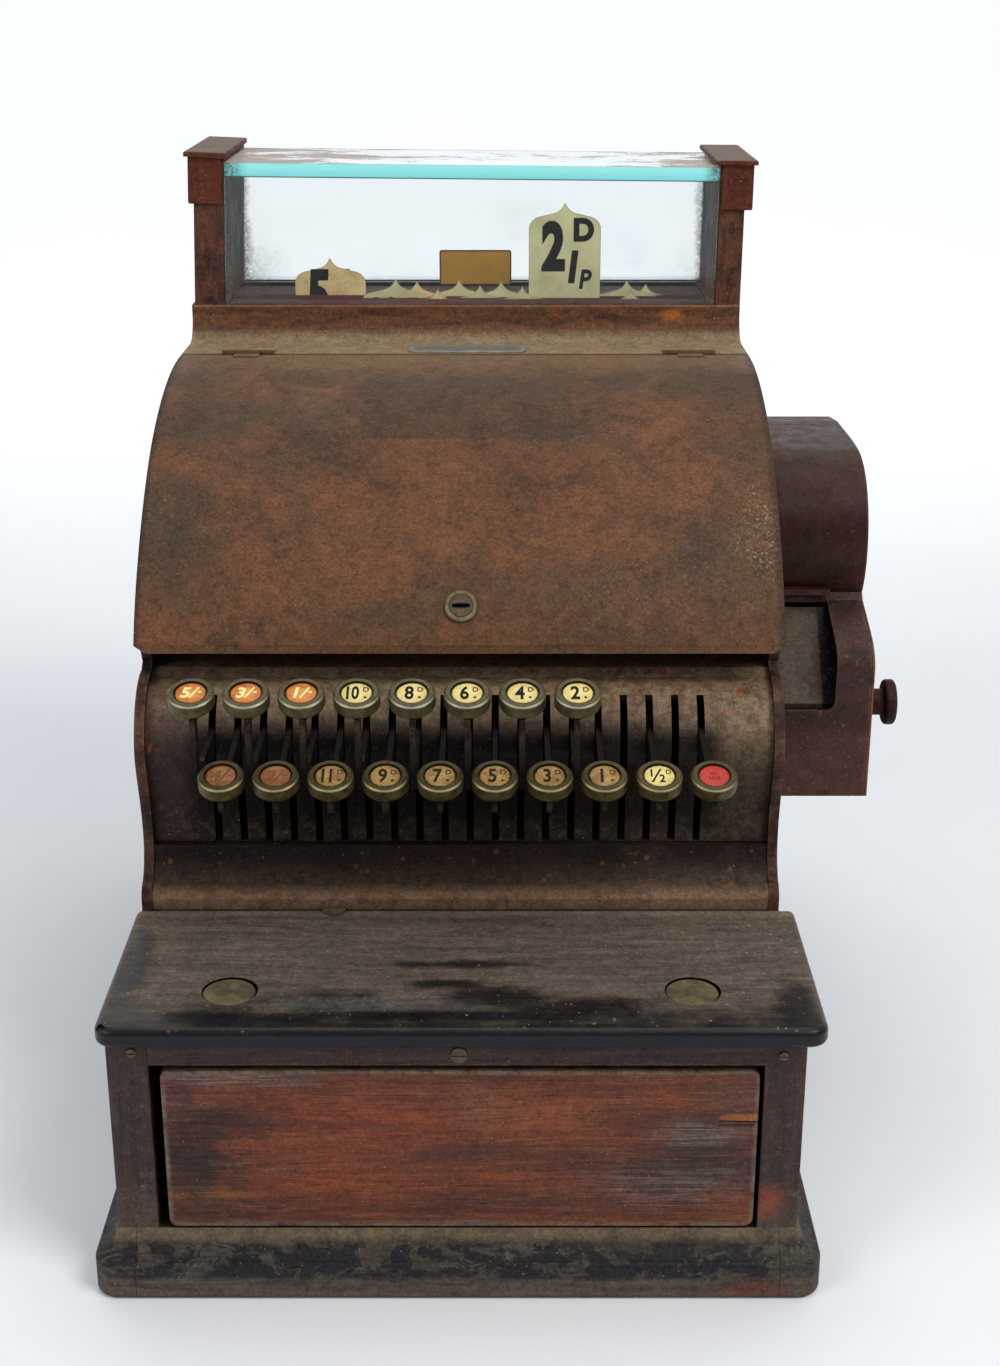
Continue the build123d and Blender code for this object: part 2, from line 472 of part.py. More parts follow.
# ------------------------------------------------------------------ lid
LID_IN = inset(LID_PTS, SHEET)
LOCK_Y, LOCK_Z = -91.0, 294.6
lx, lz = (-78.9 + 97.4), (309.6 - 284.9)
ln = hypot(lx, lz)
LOCK_N = (-lz / ln, lx / ln)             # outward normal of the lid at the lock, in (Y, Z)
lock_plane = Plane(origin=(0.7, LOCK_Y, LOCK_Z), x_dir=(1, 0, 0), z_dir=(0, LOCK_N[0], LOCK_N[1]))
with BuildPart() as lid:
    with BuildSketch(Plane.YZ.offset(-CASE_X)):
        with BuildLine():
            Line((-101.0, 273.5), LID_PTS[0])
            Spline(*LID_PTS)
            Line(LID_PTS[-1], LID_IN[-1])
            Spline(*LID_IN[::-1])
            Polyline(LID_IN[0], (-99.0, 275.5), (-94.5, 275.5), (-94.5, 273.5), (-101.0, 273.5))
        make_face()
    extrude(amount=2 * CASE_X)
    for x in KNUCKLES:
        for a, b in ((x - 14.9, x - 7.0), (x + 7.0, x + 14.9)):
            slab((a, b), (91.4, 95.0), (DECK_Z - 4, DECK_Z + 1), Mode.SUBTRACT)
        rod_x(x - 7.0, x + 7.0, HINGE_Y, HINGE_Z, 2.25)
        slab((x - 7.0, x + 7.0), (84.0, HINGE_Y), (HINGE_Z - 0.4, HINGE_Z + 0.8))
        rod_x(x - 8.0, x + 8.0, HINGE_Y, HINGE_Z, 1.25 + RUN, Mode.SUBTRACT)
    # hole for the lock barrel, in a thickened boss
    with BuildSketch(lock_plane.offset(-5.0)):
        Circle(11.0)
    extrude(amount=4.0)
    with BuildSketch(lock_plane.offset(-8.0)):
        Circle(7.06)
    extrude(amount=14.0, mode=Mode.SUBTRACT)
    # lower corners clipped off
    for s in (-1, 1):
        with BuildSketch(Plane.XZ.offset(92)):
            with BuildLine():
                Polyline((s * 154.6, 272.0), (s * 154.6, 273.4), (s * 160.2, 277.6), (s * 161, 277.6), (s * 161, 272.0),
                         (s * 154.6, 272.0))
            make_face()
        extrude(amount=12, mode=Mode.SUBTRACT)
write(lid.part, "lid")

with BuildPart() as lock:
    with BuildSketch(lock_plane.offset(-9.0)):
        Circle(7.0)
    extrude(amount=9.4)
    with BuildSketch(lock_plane.offset(0.35)):
        Circle(8.2)
    extrude(amount=1.3)
    chamfer(lock.faces().sort_by(Axis.Y)[0].edges(), 0.5)
    with BuildSketch(lock_plane.offset(-3.0)):
        Rectangle(8.5, 1.8)
    extrude(amount=6.0, mode=Mode.SUBTRACT)
    # locking cam behind the barrel
    with BuildSketch(lock_plane.offset(-11.0)):
        with Locations((0, -6)):
            Rectangle(7, 20)
    extrude(amount=2.0)
write(lock.part, "lid_lock")

# ------------------------------------------------------------------ drawer
DX0, DX1 = -135.8, 139.0
with BuildPart() as dfront:
    with BuildSketch(Plane.XZ.offset(213.5)):
        with Locations(((DX0 + DX1) / 2, (33.0 + 117.5) / 2)):
            RectangleRounded(DX1 - DX0, 84.5, 4.5)
    extrude(amount=17.8)
    fillet(dfront.faces().sort_by(Axis.Y)[0].edges(), 1.0)
    # drying crack in from the right end
    with Locations(Location((131.5, -231.6, 90.7), (0, 1.5, 0))):
        Box(21, 3.0, 0.8, mode=Mode.SUBTRACT)
write(dfront.part, "drawer_front")

BX0, BX1 = -133.6, 136.8
box_boards = []
for xs, ys, zs in (
    ((BX0, BX0 + 9), (-213.5, 200), (33, 100)), ((BX1 - 9, BX1), (-213.5, 200), (33, 100)),      # sides
    ((BX0 + 9, BX1 - 9), (191, 200), (33, 100)),                                                # back
    ((BX0 + 9, BX1 - 9), (-213.5, 191), (36, 41)),                                              # bottom
    ((BX0 + 9, BX1 - 9), (-80, -74), (41, 92)),                                                 # cross divider
    ((-75.1, -70.1), (-213.5, -80), (41, 85)), ((-24.2, -19.2), (-213.5, -80), (41, 85)),
    ((26.7, 31.7), (-213.5, -80), (41, 85)), ((77.6, 82.6), (-213.5, -80), (41, 85)),           # coin dividers
    ((-45.8, -40.8), (-74, 100), (41, 85)), ((44.0, 49.0), (-74, 100), (41, 85)),               # note dividers
    ((BX0 + 9, BX1 - 9), (100, 106), (41, 85)),
):
    with BuildPart() as board:
        slab(xs, ys, zs)
    box_boards += board.part.solids()
write(Compound(children=box_boards), "drawer_box")

# ------------------------------------------------------------------ small fittings on the cabinet
fit = []
for x in (-105.7, 108.9):                              # discs let into the shelf
    with BuildPart() as disc:
        rod_z(x, -206.5, FLOOR_Z - 3.2, FLOOR_Z - 0.5, 12.2)
        chamfer(disc.faces().sort_by(Axis.Z)[-1].edges(), 0.4)
    fit += disc.part.solids()
for x, z, r in ((1.2, 125.2, 3.85), (149.3, 124.9, 2.2), (-148.1, 126.5, 2.2)):   # slotted screws in the case front
    y0 = CASE_Y0 + 0.4 if abs(x) < 100 else CASE_Y0
    with BuildPart() as screw:
        with BuildSketch(Plane.XZ.offset(-y0)):
            with Locations((x, z)):
                Circle(r)
        extrude(amount=0.8)
        slab((x - r - 1, x + r + 1), (y0 - 1.2, y0 - 0.4), (z - 0.5, z + 0.5), Mode.SUBTRACT)
    fit += screw.part.solids()
with BuildPart() as nameplate:                         # blank plate on the deck
    with BuildSketch(Plane.XY.offset(DECK_Z)):
        with Locations((1.2, 106.5)):
            RectangleRounded(67, 18, 5)
    extrude(amount=1.0)
    chamfer(nameplate.faces().sort_by(Axis.Z)[-1].edges(), 0.4)
fit += nameplate.part.solids()
with BuildPart() as card:                              # blank card inside the back glass
    with BuildSketch(Plane.XZ.offset(-226.5)):
        with Locations((4.6, 413.0)):
            RectangleRounded(44.8, 21.6, 1.6)
    extrude(amount=0.5)
fit += card.part.solids()
with BuildPart() as tab:                               # half-round tab under the cabinet's front edge
    with BuildSketch(Plane.XY.offset(FLOOR_Z)):
        with Locations((-63.5, -124.9)):
            Circle(6.0)
        with Locations((-63.5, -114.9)):
            Rectangle(20, 20, mode=Mode.SUBTRACT)
    extrude(amount=1.3)
fit += tab.part.solids()
with BuildPart() as ears:                              # bracket of the drawer latch
    slab((-9, 9), (218.5, 221), (100, 126))
    for a, b in ((-6.5, -4.0), (4.0, 6.5)):
        slab((a, b), (205, 218.5), (106, 121))
    rod_x(-8, 8, 212, 114, 2.06, Mode.SUBTRACT)
fit += ears.part.solids()
write(Compound(children=fit), "small_fittings")

# ------------------------------------------------------------------ bell and its hammer, under the case top
BELL_X, BELL_Y = 70.0, 60.0
with BuildPart() as gong:
    with BuildSketch(Plane.XZ.offset(-BELL_Y)):
        with BuildLine():
            Polyline((BELL_X, 128.0), (BELL_X + 8.0, 127.4))
            ThreePointArc((BELL_X + 8.0, 127.4), (BELL_X + 20.0, 122.0), (BELL_X + 25.0, 108.0))
            Line((BELL_X + 25.0, 108.0), (BELL_X + 23.2, 108.0))
            ThreePointArc((BELL_X + 23.2, 108.0), (BELL_X + 18.6, 120.6), (BELL_X + 7.6, 125.6))
            Polyline((BELL_X + 7.6, 125.6), (BELL_X, 126.2), (BELL_X, 128.0))
        make_face()
    revolve(axis=Axis((BELL_X, BELL_Y, 0), (0, 0, 1)))
    rod_z(BELL_X, BELL_Y, 121.5, CASE_TOP, 2.5)
    rod_z(BELL_X, BELL_Y, 121.5, 124.6, 4.5)
    # pivot pin of the hammer
    rod_z(BELL_X + 30.4, BELL_Y + 40, 106.5, CASE_TOP, 2.0)
    rod_z(BELL_X + 30.4, BELL_Y + 40, 119.2, CASE_TOP, 4.0)
    rod_z(BELL_X + 30.4, BELL_Y + 40, 106.5, 108.3, 3.6)
write(Compound(children=gong.part.solids()), "bell")

with BuildPart() as hammer:
    hx, hy = BELL_X + 30.4, BELL_Y + 40
    slab((hx - 2.5, hx + 2.5), (BELL_Y + 2, hy), (111.0, 114.0))
    rod_z(hx, hy, 108.8, 118.8, 5.0)
    slab((hx - 2.5, hx + 2.5), (hy, hy + 16), (111.0, 114.0))
    rod_z(hx, hy, 105, 125, 2.06, Mode.SUBTRACT)
    with Locations((hx, BELL_Y, 112.5)):
        Sphere(4.6)
write(hammer.part, "bell_hammer")

# ------------------------------------------------------------------ drawer latch
with BuildPart() as latch:
    with BuildSketch(Plane.YZ.offset(-3.0)):
        with BuildLine():
            Polyline((216.0, 117.0), (184.0, 117.0), (184.0, 101.2), (187.6, 101.2), (189.0, 104.5), (189.0, 111.0),
                     (216.0, 111.0), (216.0, 117.0))
        make_face()
        with Locations((212, 114)):
            Circle(4.5)
    extrude(amount=6.0)
    rod_x(-6.8, 6.8, 212, 114, 2.0)
write(latch.part, "drawer_latch")

# ------------------------------------------------------------------ paper unit on the right side
UNIT_X0 = CASE_X
with BuildPart() as unit:
    with BuildSketch(Plane.YZ.offset(UNIT_X0)):
        with BuildLine():
            Polyline((118.0, 278.7), (118.0, 182.0), (-66.0, 182.0), (-66.0, 252.0))
            Spline((-66.0, 252.0), (-64.2, 257.2), (-57.7, 262.6), (-46.3, 267.2))
            Polyline((-46.3, 267.2), (-20.3, 275.0), (-17.5, 278.7), (118.0, 278.7))
        make_face()
    extrude(amount=UNIT_X1 - UNIT_X0)
    with BuildSketch(Plane.YZ.offset(UNIT_X0 + 2)):
        with BuildLine():
            Polyline((116.0, 290.0), (116.0, 184.0), (-64.0, 184.0), (-64.0, 251.0), (-62.5, 255.8), (-56.8, 260.7),
                     (-45.7, 265.1), (-19.4, 273.0), (-15.6, 278.0), (-15.6, 290.0), (116.0, 290.0))
        make_face()
    extrude(amount=UNIT_X1 - UNIT_X0 - 4, mode=Mode.SUBTRACT)
    # paper window
    with BuildSketch(Plane.XZ.offset(70)):
        with BuildLine():
            Polyline((161.9, 230.0), (188.0, 230.0))
            ThreePointArc((188.0, 230.0), (191.3, 231.4), (192.4, 235.0))
            Polyline((192.4, 235.0), (193.0, 276.5), (161.9, 276.5), (161.9, 230.0))
        make_face()
    extrude(amount=-51.0, mode=Mode.SUBTRACT)
    # bearings of the roller and of the spool
    rod_x(UNIT_X0 - 1, UNIT_X1 + 1, KNOB_Y, KNOB_Z, 3.0 + RUN, Mode.SUBTRACT)
    rod_x(UNIT_X0 - 1, UNIT_X1 + 1, SPOOL_Y, SPOOL_Z, 3.0 + RUN, Mode.SUBTRACT)
    # rear hinge knuckles and their pin
    for a, b in ((163.0, 171.0), (200.0, 208.0)):
        rod_x(a, b, 120.4, 279.0, 2.1)
        slab((a, b), (117.0, 120.4), (275.5, 278.7))
    rod_x(163.0, 208.0, 120.4, 279.0, 1.1)
with BuildPart() as table:                             # writing table behind the window
    with BuildSketch(Plane.YZ.offset(UNIT_X0 + 2)):
        with BuildLine():
            Polyline((-58.5, 222.0), (-56.5, 222.0), (-56.5, 230.0), (-18.2, 269.6), (-19.7, 271.0), (-58.5, 231.0), (-58.5, 222.0))
        make_face()
    extrude(amount=UNIT_X1 - UNIT_X0 - 4)
# the side walls are pieces of their own, riveted to the folded middle
middle = split(unit.part, bisect_by=Plane.YZ.offset(UNIT_X0 + 2), keep=Keep.BOTH).solids()
walls = []
for piece in middle:
    walls += split(piece, bisect_by=Plane.YZ.offset(UNIT_X1 - 2), keep=Keep.BOTH).solids()
write(Compound(children=[*walls, *table.part.solids()]), "side_unit_case")

HOOD = [(-17.6, 279.3), (-20.0, 283.4), (-23.4, 292.6), (-24.8, 301.3), (-24.2, 310.5), (-20.0, 323.5),
        (-13.0, 333.2), (-3.0, 340.6), (8.0, 345.0), (22.0, 347.0), (40.0, 347.5)]
HOOD_IN = inset(HOOD, 1.6)
with BuildPart() as hood:
    with BuildSketch(Plane.YZ.offset(UNIT_X0 + 0.6)):
        with BuildLine():
            Spline(*HOOD)
            Polyline(HOOD[-1], (90.0, 346.6), (118.0, 343.0), (118.0, 279.3), HOOD[0])
        make_face()
    extrude(amount=UNIT_X1 - UNIT_X0 - 0.6)
    with BuildSketch(Plane.YZ.offset(UNIT_X0 - 1)):
        with BuildLine():
            Spline(*HOOD_IN)
            Polyline(HOOD_IN[-1], (90.0, 345.0), (116.4, 341.6), (116.4, 270.0), (HOOD_IN[0][0], 270.0), HOOD_IN[0])
        make_face()
    extrude(amount=UNIT_X1 - UNIT_X0 - 0.6, mode=Mode.SUBTRACT)
    # tear bar along the lower lip
    slab((163.0, 193.5), (-25.5, -17.5), (279.4, 282.4))
    for x in (185.5,):
        rod_x(171.4, 199.6, 120.4, 279.0, 2.1)
        slab((171.4, 199.6), (116.6, 120.4), (279.4, 283.5))
        rod_x(170.0, 201.0, 120.4, 279.0, 1.1 + RUN, Mode.SUBTRACT)
write(hood.part, "side_unit_cover")

with BuildPart() as knob_disc:
    rod_x(222.0, 228.2, KNOB_Y, KNOB_Z, 12.0)
    fillet(knob_disc.edges().filter_by(GeomType.CIRCLE), 2.0)
with BuildPart() as knob:
    rod_x(160.8, 224.0, KNOB_Y, KNOB_Z, 3.0)
    rod_x(164.0, 208.0, KNOB_Y, KNOB_Z, 11.5)
    # stepped collar outside the case, and the round-edged turning disc
    rod_x(212.6, 215.8, KNOB_Y, KNOB_Z, 8.8)
    rod_x(215.4, 223.0, KNOB_Y, KNOB_Z, 7.0)
    add(knob_disc.part)
write(knob.part, "paper_knob")

with BuildPart() as spool:
    rod_x(160.8, 211.6, SPOOL_Y, SPOOL_Z, 3.0)
    rod_x(164.0, 165.6, SPOOL_Y, SPOOL_Z, 26.0)
    rod_x(206.4, 208.0, SPOOL_Y, SPOOL_Z, 26.0)
    rod_x(165.6, 206.4, SPOOL_Y, SPOOL_Z, 19.0)
write(spool.part, "paper_spool")
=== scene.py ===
import math
import random

import bmesh
import bpy
from mathutils import Matrix, Vector


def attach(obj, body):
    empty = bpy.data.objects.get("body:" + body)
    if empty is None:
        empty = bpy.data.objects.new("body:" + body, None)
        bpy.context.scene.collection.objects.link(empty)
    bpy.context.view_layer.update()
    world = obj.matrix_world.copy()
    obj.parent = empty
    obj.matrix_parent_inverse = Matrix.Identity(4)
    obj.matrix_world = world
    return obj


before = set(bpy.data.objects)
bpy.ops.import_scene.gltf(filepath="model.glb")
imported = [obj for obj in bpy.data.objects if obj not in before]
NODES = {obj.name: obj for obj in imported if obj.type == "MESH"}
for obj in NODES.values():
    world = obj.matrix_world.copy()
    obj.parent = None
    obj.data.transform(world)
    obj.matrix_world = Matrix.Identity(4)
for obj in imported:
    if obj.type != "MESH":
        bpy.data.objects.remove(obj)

random.seed(7)
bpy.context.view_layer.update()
scene = bpy.context.scene

# ------------------------------------------------------------------ camera
cam_data = bpy.data.cameras.new("Camera")
cam_data.lens = 51.55
cam_data.sensor_width = 36.0
cam_data.sensor_fit = "AUTO"
cam_data.clip_start, cam_data.clip_end = 0.01, 60.0
cam = bpy.data.objects.new("Camera", cam_data)
cam.location = (0.0199, -1.007, 0.594)
cam.rotation_euler = (math.radians(90 - 20.34), 0, 0)
scene.collection.objects.link(cam)
scene.camera = cam
scene.view_settings.view_transform = "Standard"
scene.view_settings.look = "None"


# ------------------------------------------------------------------ node helpers
def lin(v):
    v = v / 255.0
    return v / 12.92 if v <= 0.04045 else ((v + 0.055) / 1.055) ** 2.4


def col(r, g, b):
    return (lin(r), lin(g), lin(b), 1.0)


BALANCE = {"knob_metal": (0.50, 0.46, 0.54), "cover_lacquer": (0.49, 0.36, 0.28), "key_metal_upper": (0.72, 0.68, 0.60), "key_metal_lower": (0.80, 0.76, 0.68), "shelf_wood": (0.97, 0.96, 0.95),
           "plinth_wood": (1.2, 1.27, 1.32), "fittings": (1.2, 1.2, 1.1), "lid_lacquer": (0.95, 0.91, 0.83),
           "drawer_mahogany": (0.97, 1.18, 1.26), "unit_lacquer": (0.95, 0.92, 0.90)}


class G:
    """One material's node graph, in the frame's coordinates (metres)."""

    def __init__(self, name):
        self.m = bpy.data.materials.new(name)
        self.m.use_nodes = True
        self.nt = self.m.node_tree
        self.nt.nodes.clear()
        self.out = self.nt.nodes.new("ShaderNodeOutputMaterial")
        self.b = self.nt.nodes.new("ShaderNodeBsdfPrincipled")
        self.nt.links.new(self.b.outputs[0], self.out.inputs[0])
        tc = self.nt.nodes.new("ShaderNodeTexCoord")
        self.co = tc.outputs["Object"]
        self._sep = None
        self._nrm = None

    def node(self, kind, **props):
        n = self.nt.nodes.new(kind)
        for k, v in props.items():
            setattr(n, k, v)
        return n

    def put(self, socket, v):
        if isinstance(v, bpy.types.NodeSocket):
            self.nt.links.new(v, socket)
        elif v is not None:
            socket.default_value = v

    def xyz(self):
        if self._sep is None:
            n = self.node("ShaderNodeSeparateXYZ")
            self.put(n.inputs[0], self.co)
            self._sep = n.outputs
        return self._sep

    def normal(self):
        if self._nrm is None:
            g = self.node("ShaderNodeNewGeometry")
            n = self.node("ShaderNodeSeparateXYZ")
            self.put(n.inputs[0], g.outputs["True Normal"])
            self._nrm = n.outputs
        return self._nrm

    def math(self, op, a, b=0.0, c=0.0, clamp=False):
        n = self.node("ShaderNodeMath", operation=op, use_clamp=clamp)
        self.put(n.inputs[0], a)
        self.put(n.inputs[1], b)
        self.put(n.inputs[2], c)
        return n.outputs[0]

    def mul(self, *vs):
        r = vs[0]
        for v in vs[1:]:
            r = self.math("MULTIPLY", r, v)
        return r

    def add(self, *vs):
        r = vs[0]
        for v in vs[1:]:
            r = self.math("ADD", r, v)
        return r

    def inv(self, a):
        return self.math("SUBTRACT", 1.0, a, clamp=True)

    def most(self, a, b):
        return self.math("MAXIMUM", a, b)

    def stretch(self, sx, sy, sz, move=(0, 0, 0), turn=(0, 0, 0), co=None):
        n = self.node("ShaderNodeMapping")
        self.put(n.inputs["Vector"], co or self.co)
        n.inputs["Scale"].default_value = (sx, sy, sz)
        n.inputs["Location"].default_value = move
        n.inputs["Rotation"].default_value = turn
        return n.outputs[0]

    def noise(self, scale, detail=2.0, rough=0.5, dist=0.0, co=None, out="Fac"):
        n = self.node("ShaderNodeTexNoise")
        self.put(n.inputs["Vector"], co or self.co)
        n.inputs["Scale"].default_value = scale
        n.inputs["Detail"].default_value = detail
        n.inputs["Roughness"].default_value = rough
        n.inputs["Distortion"].default_value = dist
        return n.outputs[out]

    def warp(self, scale, amount, co=None, detail=2.0):
        """Coordinates pushed about by a noise, amount in metres."""
        n = self.node("ShaderNodeVectorMath", operation="MULTIPLY_ADD")
        self.put(n.inputs[0], self.noise(scale, detail, co=co, out="Color"))
        n.inputs[1].default_value = (amount, amount, amount)
        self.put(n.inputs[2], co or self.co)
        return n.outputs[0]

    def range(self, v, a, b, lo=0.0, hi=1.0, smooth=True):
        n = self.node("ShaderNodeMapRange", interpolation_type="SMOOTHSTEP" if smooth else "LINEAR")
        self.put(n.inputs["Value"], v)
        n.inputs["From Min"].default_value = a
        n.inputs["From Max"].default_value = b
        n.inputs["To Min"].default_value = lo
        n.inputs["To Max"].default_value = hi
        return n.outputs["Result"]

    def between(self, v, a, b, soft):
        return self.mul(self.range(v, a - soft, a + soft), self.range(v, b - soft, b + soft, 1.0, 0.0))

    def box(self, x=None, y=None, z=None, soft=0.004):
        s = self.xyz()
        r = None
        for lim, v in zip((x, y, z), s):
            if lim is None:
                continue
            t = self.between(v, lim[0], lim[1], soft)
            r = t if r is None else self.mul(r, t)
        return r

    def blob(self, c, r, soft=0.6, ragged=0.0, scale=60.0, co=None):
        """1 inside an ellipsoid round c with radii r, fading to 0."""
        n = self.node("ShaderNodeMapping", vector_type="TEXTURE")
        self.put(n.inputs["Vector"], co or self.co)
        n.inputs["Location"].default_value = c
        n.inputs["Scale"].default_value = r
        d = self.node("ShaderNodeVectorMath", operation="LENGTH")
        self.put(d.inputs[0], n.outputs[0])
        v = d.outputs["Value"]
        if ragged:
            v = self.add(v, self.mul(self.math("SUBTRACT", self.noise(scale, 4, 0.65), 0.5), ragged * 2))
        return self.range(v, 1.0 - soft, 1.0 + soft * 0.3, 1.0, 0.0)

    def specks(self, scale, size, share, co=None, seed=0.0):
        """Small scattered spots: cells of 1/scale metres, a share of which hold one."""
        n = self.node("ShaderNodeTexVoronoi", feature="F1")
        v = self.stretch(1, 1, 1, (seed, seed * 1.7, seed * 0.6), co=co)
        self.put(n.inputs["Vector"], v)
        n.inputs["Scale"].default_value = scale
        pick = self.node("ShaderNodeSeparateColor")
        self.put(pick.inputs[0], n.outputs["Color"])
        near = self.range(n.outputs["Distance"], size * 0.5, size, 1.0, 0.0)
        return self.mul(near, self.math("LESS_THAN", pick.outputs[0], share))

    def ramp(self, fac, stops, ease=False):
        n = self.node("ShaderNodeValToRGB")
        self.put(n.inputs[0], fac)
        e = n.color_ramp.elements
        while len(e) < len(stops):
            e.new(0.5)
        for k, (p, c) in zip(e, stops):
            k.position = p
            k.color = c if not isinstance(c, (int, float)) else (c, c, c, 1)
        if ease:
            n.color_ramp.interpolation = "EASE"
        return n.outputs[0]

    def mix(self, fac, a, b, mode="MIX"):
        n = self.node("ShaderNodeMix", data_type="RGBA", blend_type=mode)
        self.put(n.inputs[0], fac)
        self.put(n.inputs[6], a)
        self.put(n.inputs[7], b)
        return n.outputs[2]

    def tone(self, c, v):
        """Colour c made lighter or darker by v, where 1 leaves it."""
        n = self.node("ShaderNodeVectorMath", operation="SCALE")
        self.put(n.inputs[0], c)
        self.put(n.inputs[3], v)
        return n.outputs[0]

    def edge(self, radius, samples=4):
        """1 near sharp edges, from the difference between the bevelled and the true normal."""
        bv = self.node("ShaderNodeBevel", samples=samples)
        bv.inputs["Radius"].default_value = radius
        g = self.node("ShaderNodeNewGeometry")
        d = self.node("ShaderNodeVectorMath", operation="DOT_PRODUCT")
        self.put(d.inputs[0], bv.outputs[0])
        self.put(d.inputs[1], g.outputs["Normal"])
        return self.range(d.outputs["Value"], 0.80, 0.99, 1.0, 0.0)

    # Ambient occlusion: the materials use it to darken colour in crevices and where parts meet, as painted shade.
    def ao(self, distance, samples=6):
        n = self.node("ShaderNodeAmbientOcclusion", samples=samples)
        n.inputs["Distance"].default_value = distance
        return n.outputs["AO"]

    def bump(self, height, strength=0.3, distance=0.001, normal=None):
        n = self.node("ShaderNodeBump")
        n.inputs["Strength"].default_value = strength
        n.inputs["Distance"].default_value = distance
        self.put(n.inputs["Height"], height)
        if normal is not None:
            self.put(n.inputs["Normal"], normal)
        return n.outputs[0]

    def finish(self, colour, rough=0.6, normal=None, metal=None, spec=0.5, coat=0.0, coat_rough=0.2):
        b = self.b
        if self.m.name in BALANCE:
            n = self.node("ShaderNodeVectorMath", operation="MULTIPLY")
            self.put(n.inputs[0], colour)
            n.inputs[1].default_value = BALANCE[self.m.name]
            colour = n.outputs[0]
        self.put(b.inputs["Base Color"], colour)
        self.put(b.inputs["Roughness"], rough)
        if metal is not None:
            self.put(b.inputs["Metallic"], metal)
        b.inputs["Specular IOR Level"].default_value = spec
        b.inputs["Coat Weight"].default_value = coat
        b.inputs["Coat Roughness"].default_value = coat_rough
        if normal is not None:
            self.put(b.inputs["Normal"], normal)
        return self.m


def wear(name, m):
    """Gives a CAD node its material."""
    o = NODES[name]
    o.data.materials.clear()
    o.data.materials.append(m)
    for p in o.data.polygons:
        p.material_index = 0


# ------------------------------------------------------------------ materials: sheet metal and wood
def fine_dust(g, seed=0.0):
    """Pale grains and rust crumbs that lie on every surface."""
    return g.specks(900, 0.36, 0.12, seed=seed), g.specks(420, 0.16, 0.03, seed=seed + 3.1)


def grit(g, c, amount, scale=700.0, seed=0.0):
    """Fine mottling that lightens and darkens the colour by up to amount."""
    n = g.noise(scale, 4, 0.82, co=g.stretch(1, 1, 1, (seed, seed, seed)))
    m = g.noise(scale * 0.28, 4, 0.75, co=g.stretch(1, 1, 1, (seed + 2, seed, seed)))
    v = g.add(g.range(n, 0.30, 0.70, -amount, amount, False), g.range(m, 0.30, 0.70, -amount * 0.6, amount * 0.6, False))
    return g.tone(c, g.math("ADD", v, 1.0))


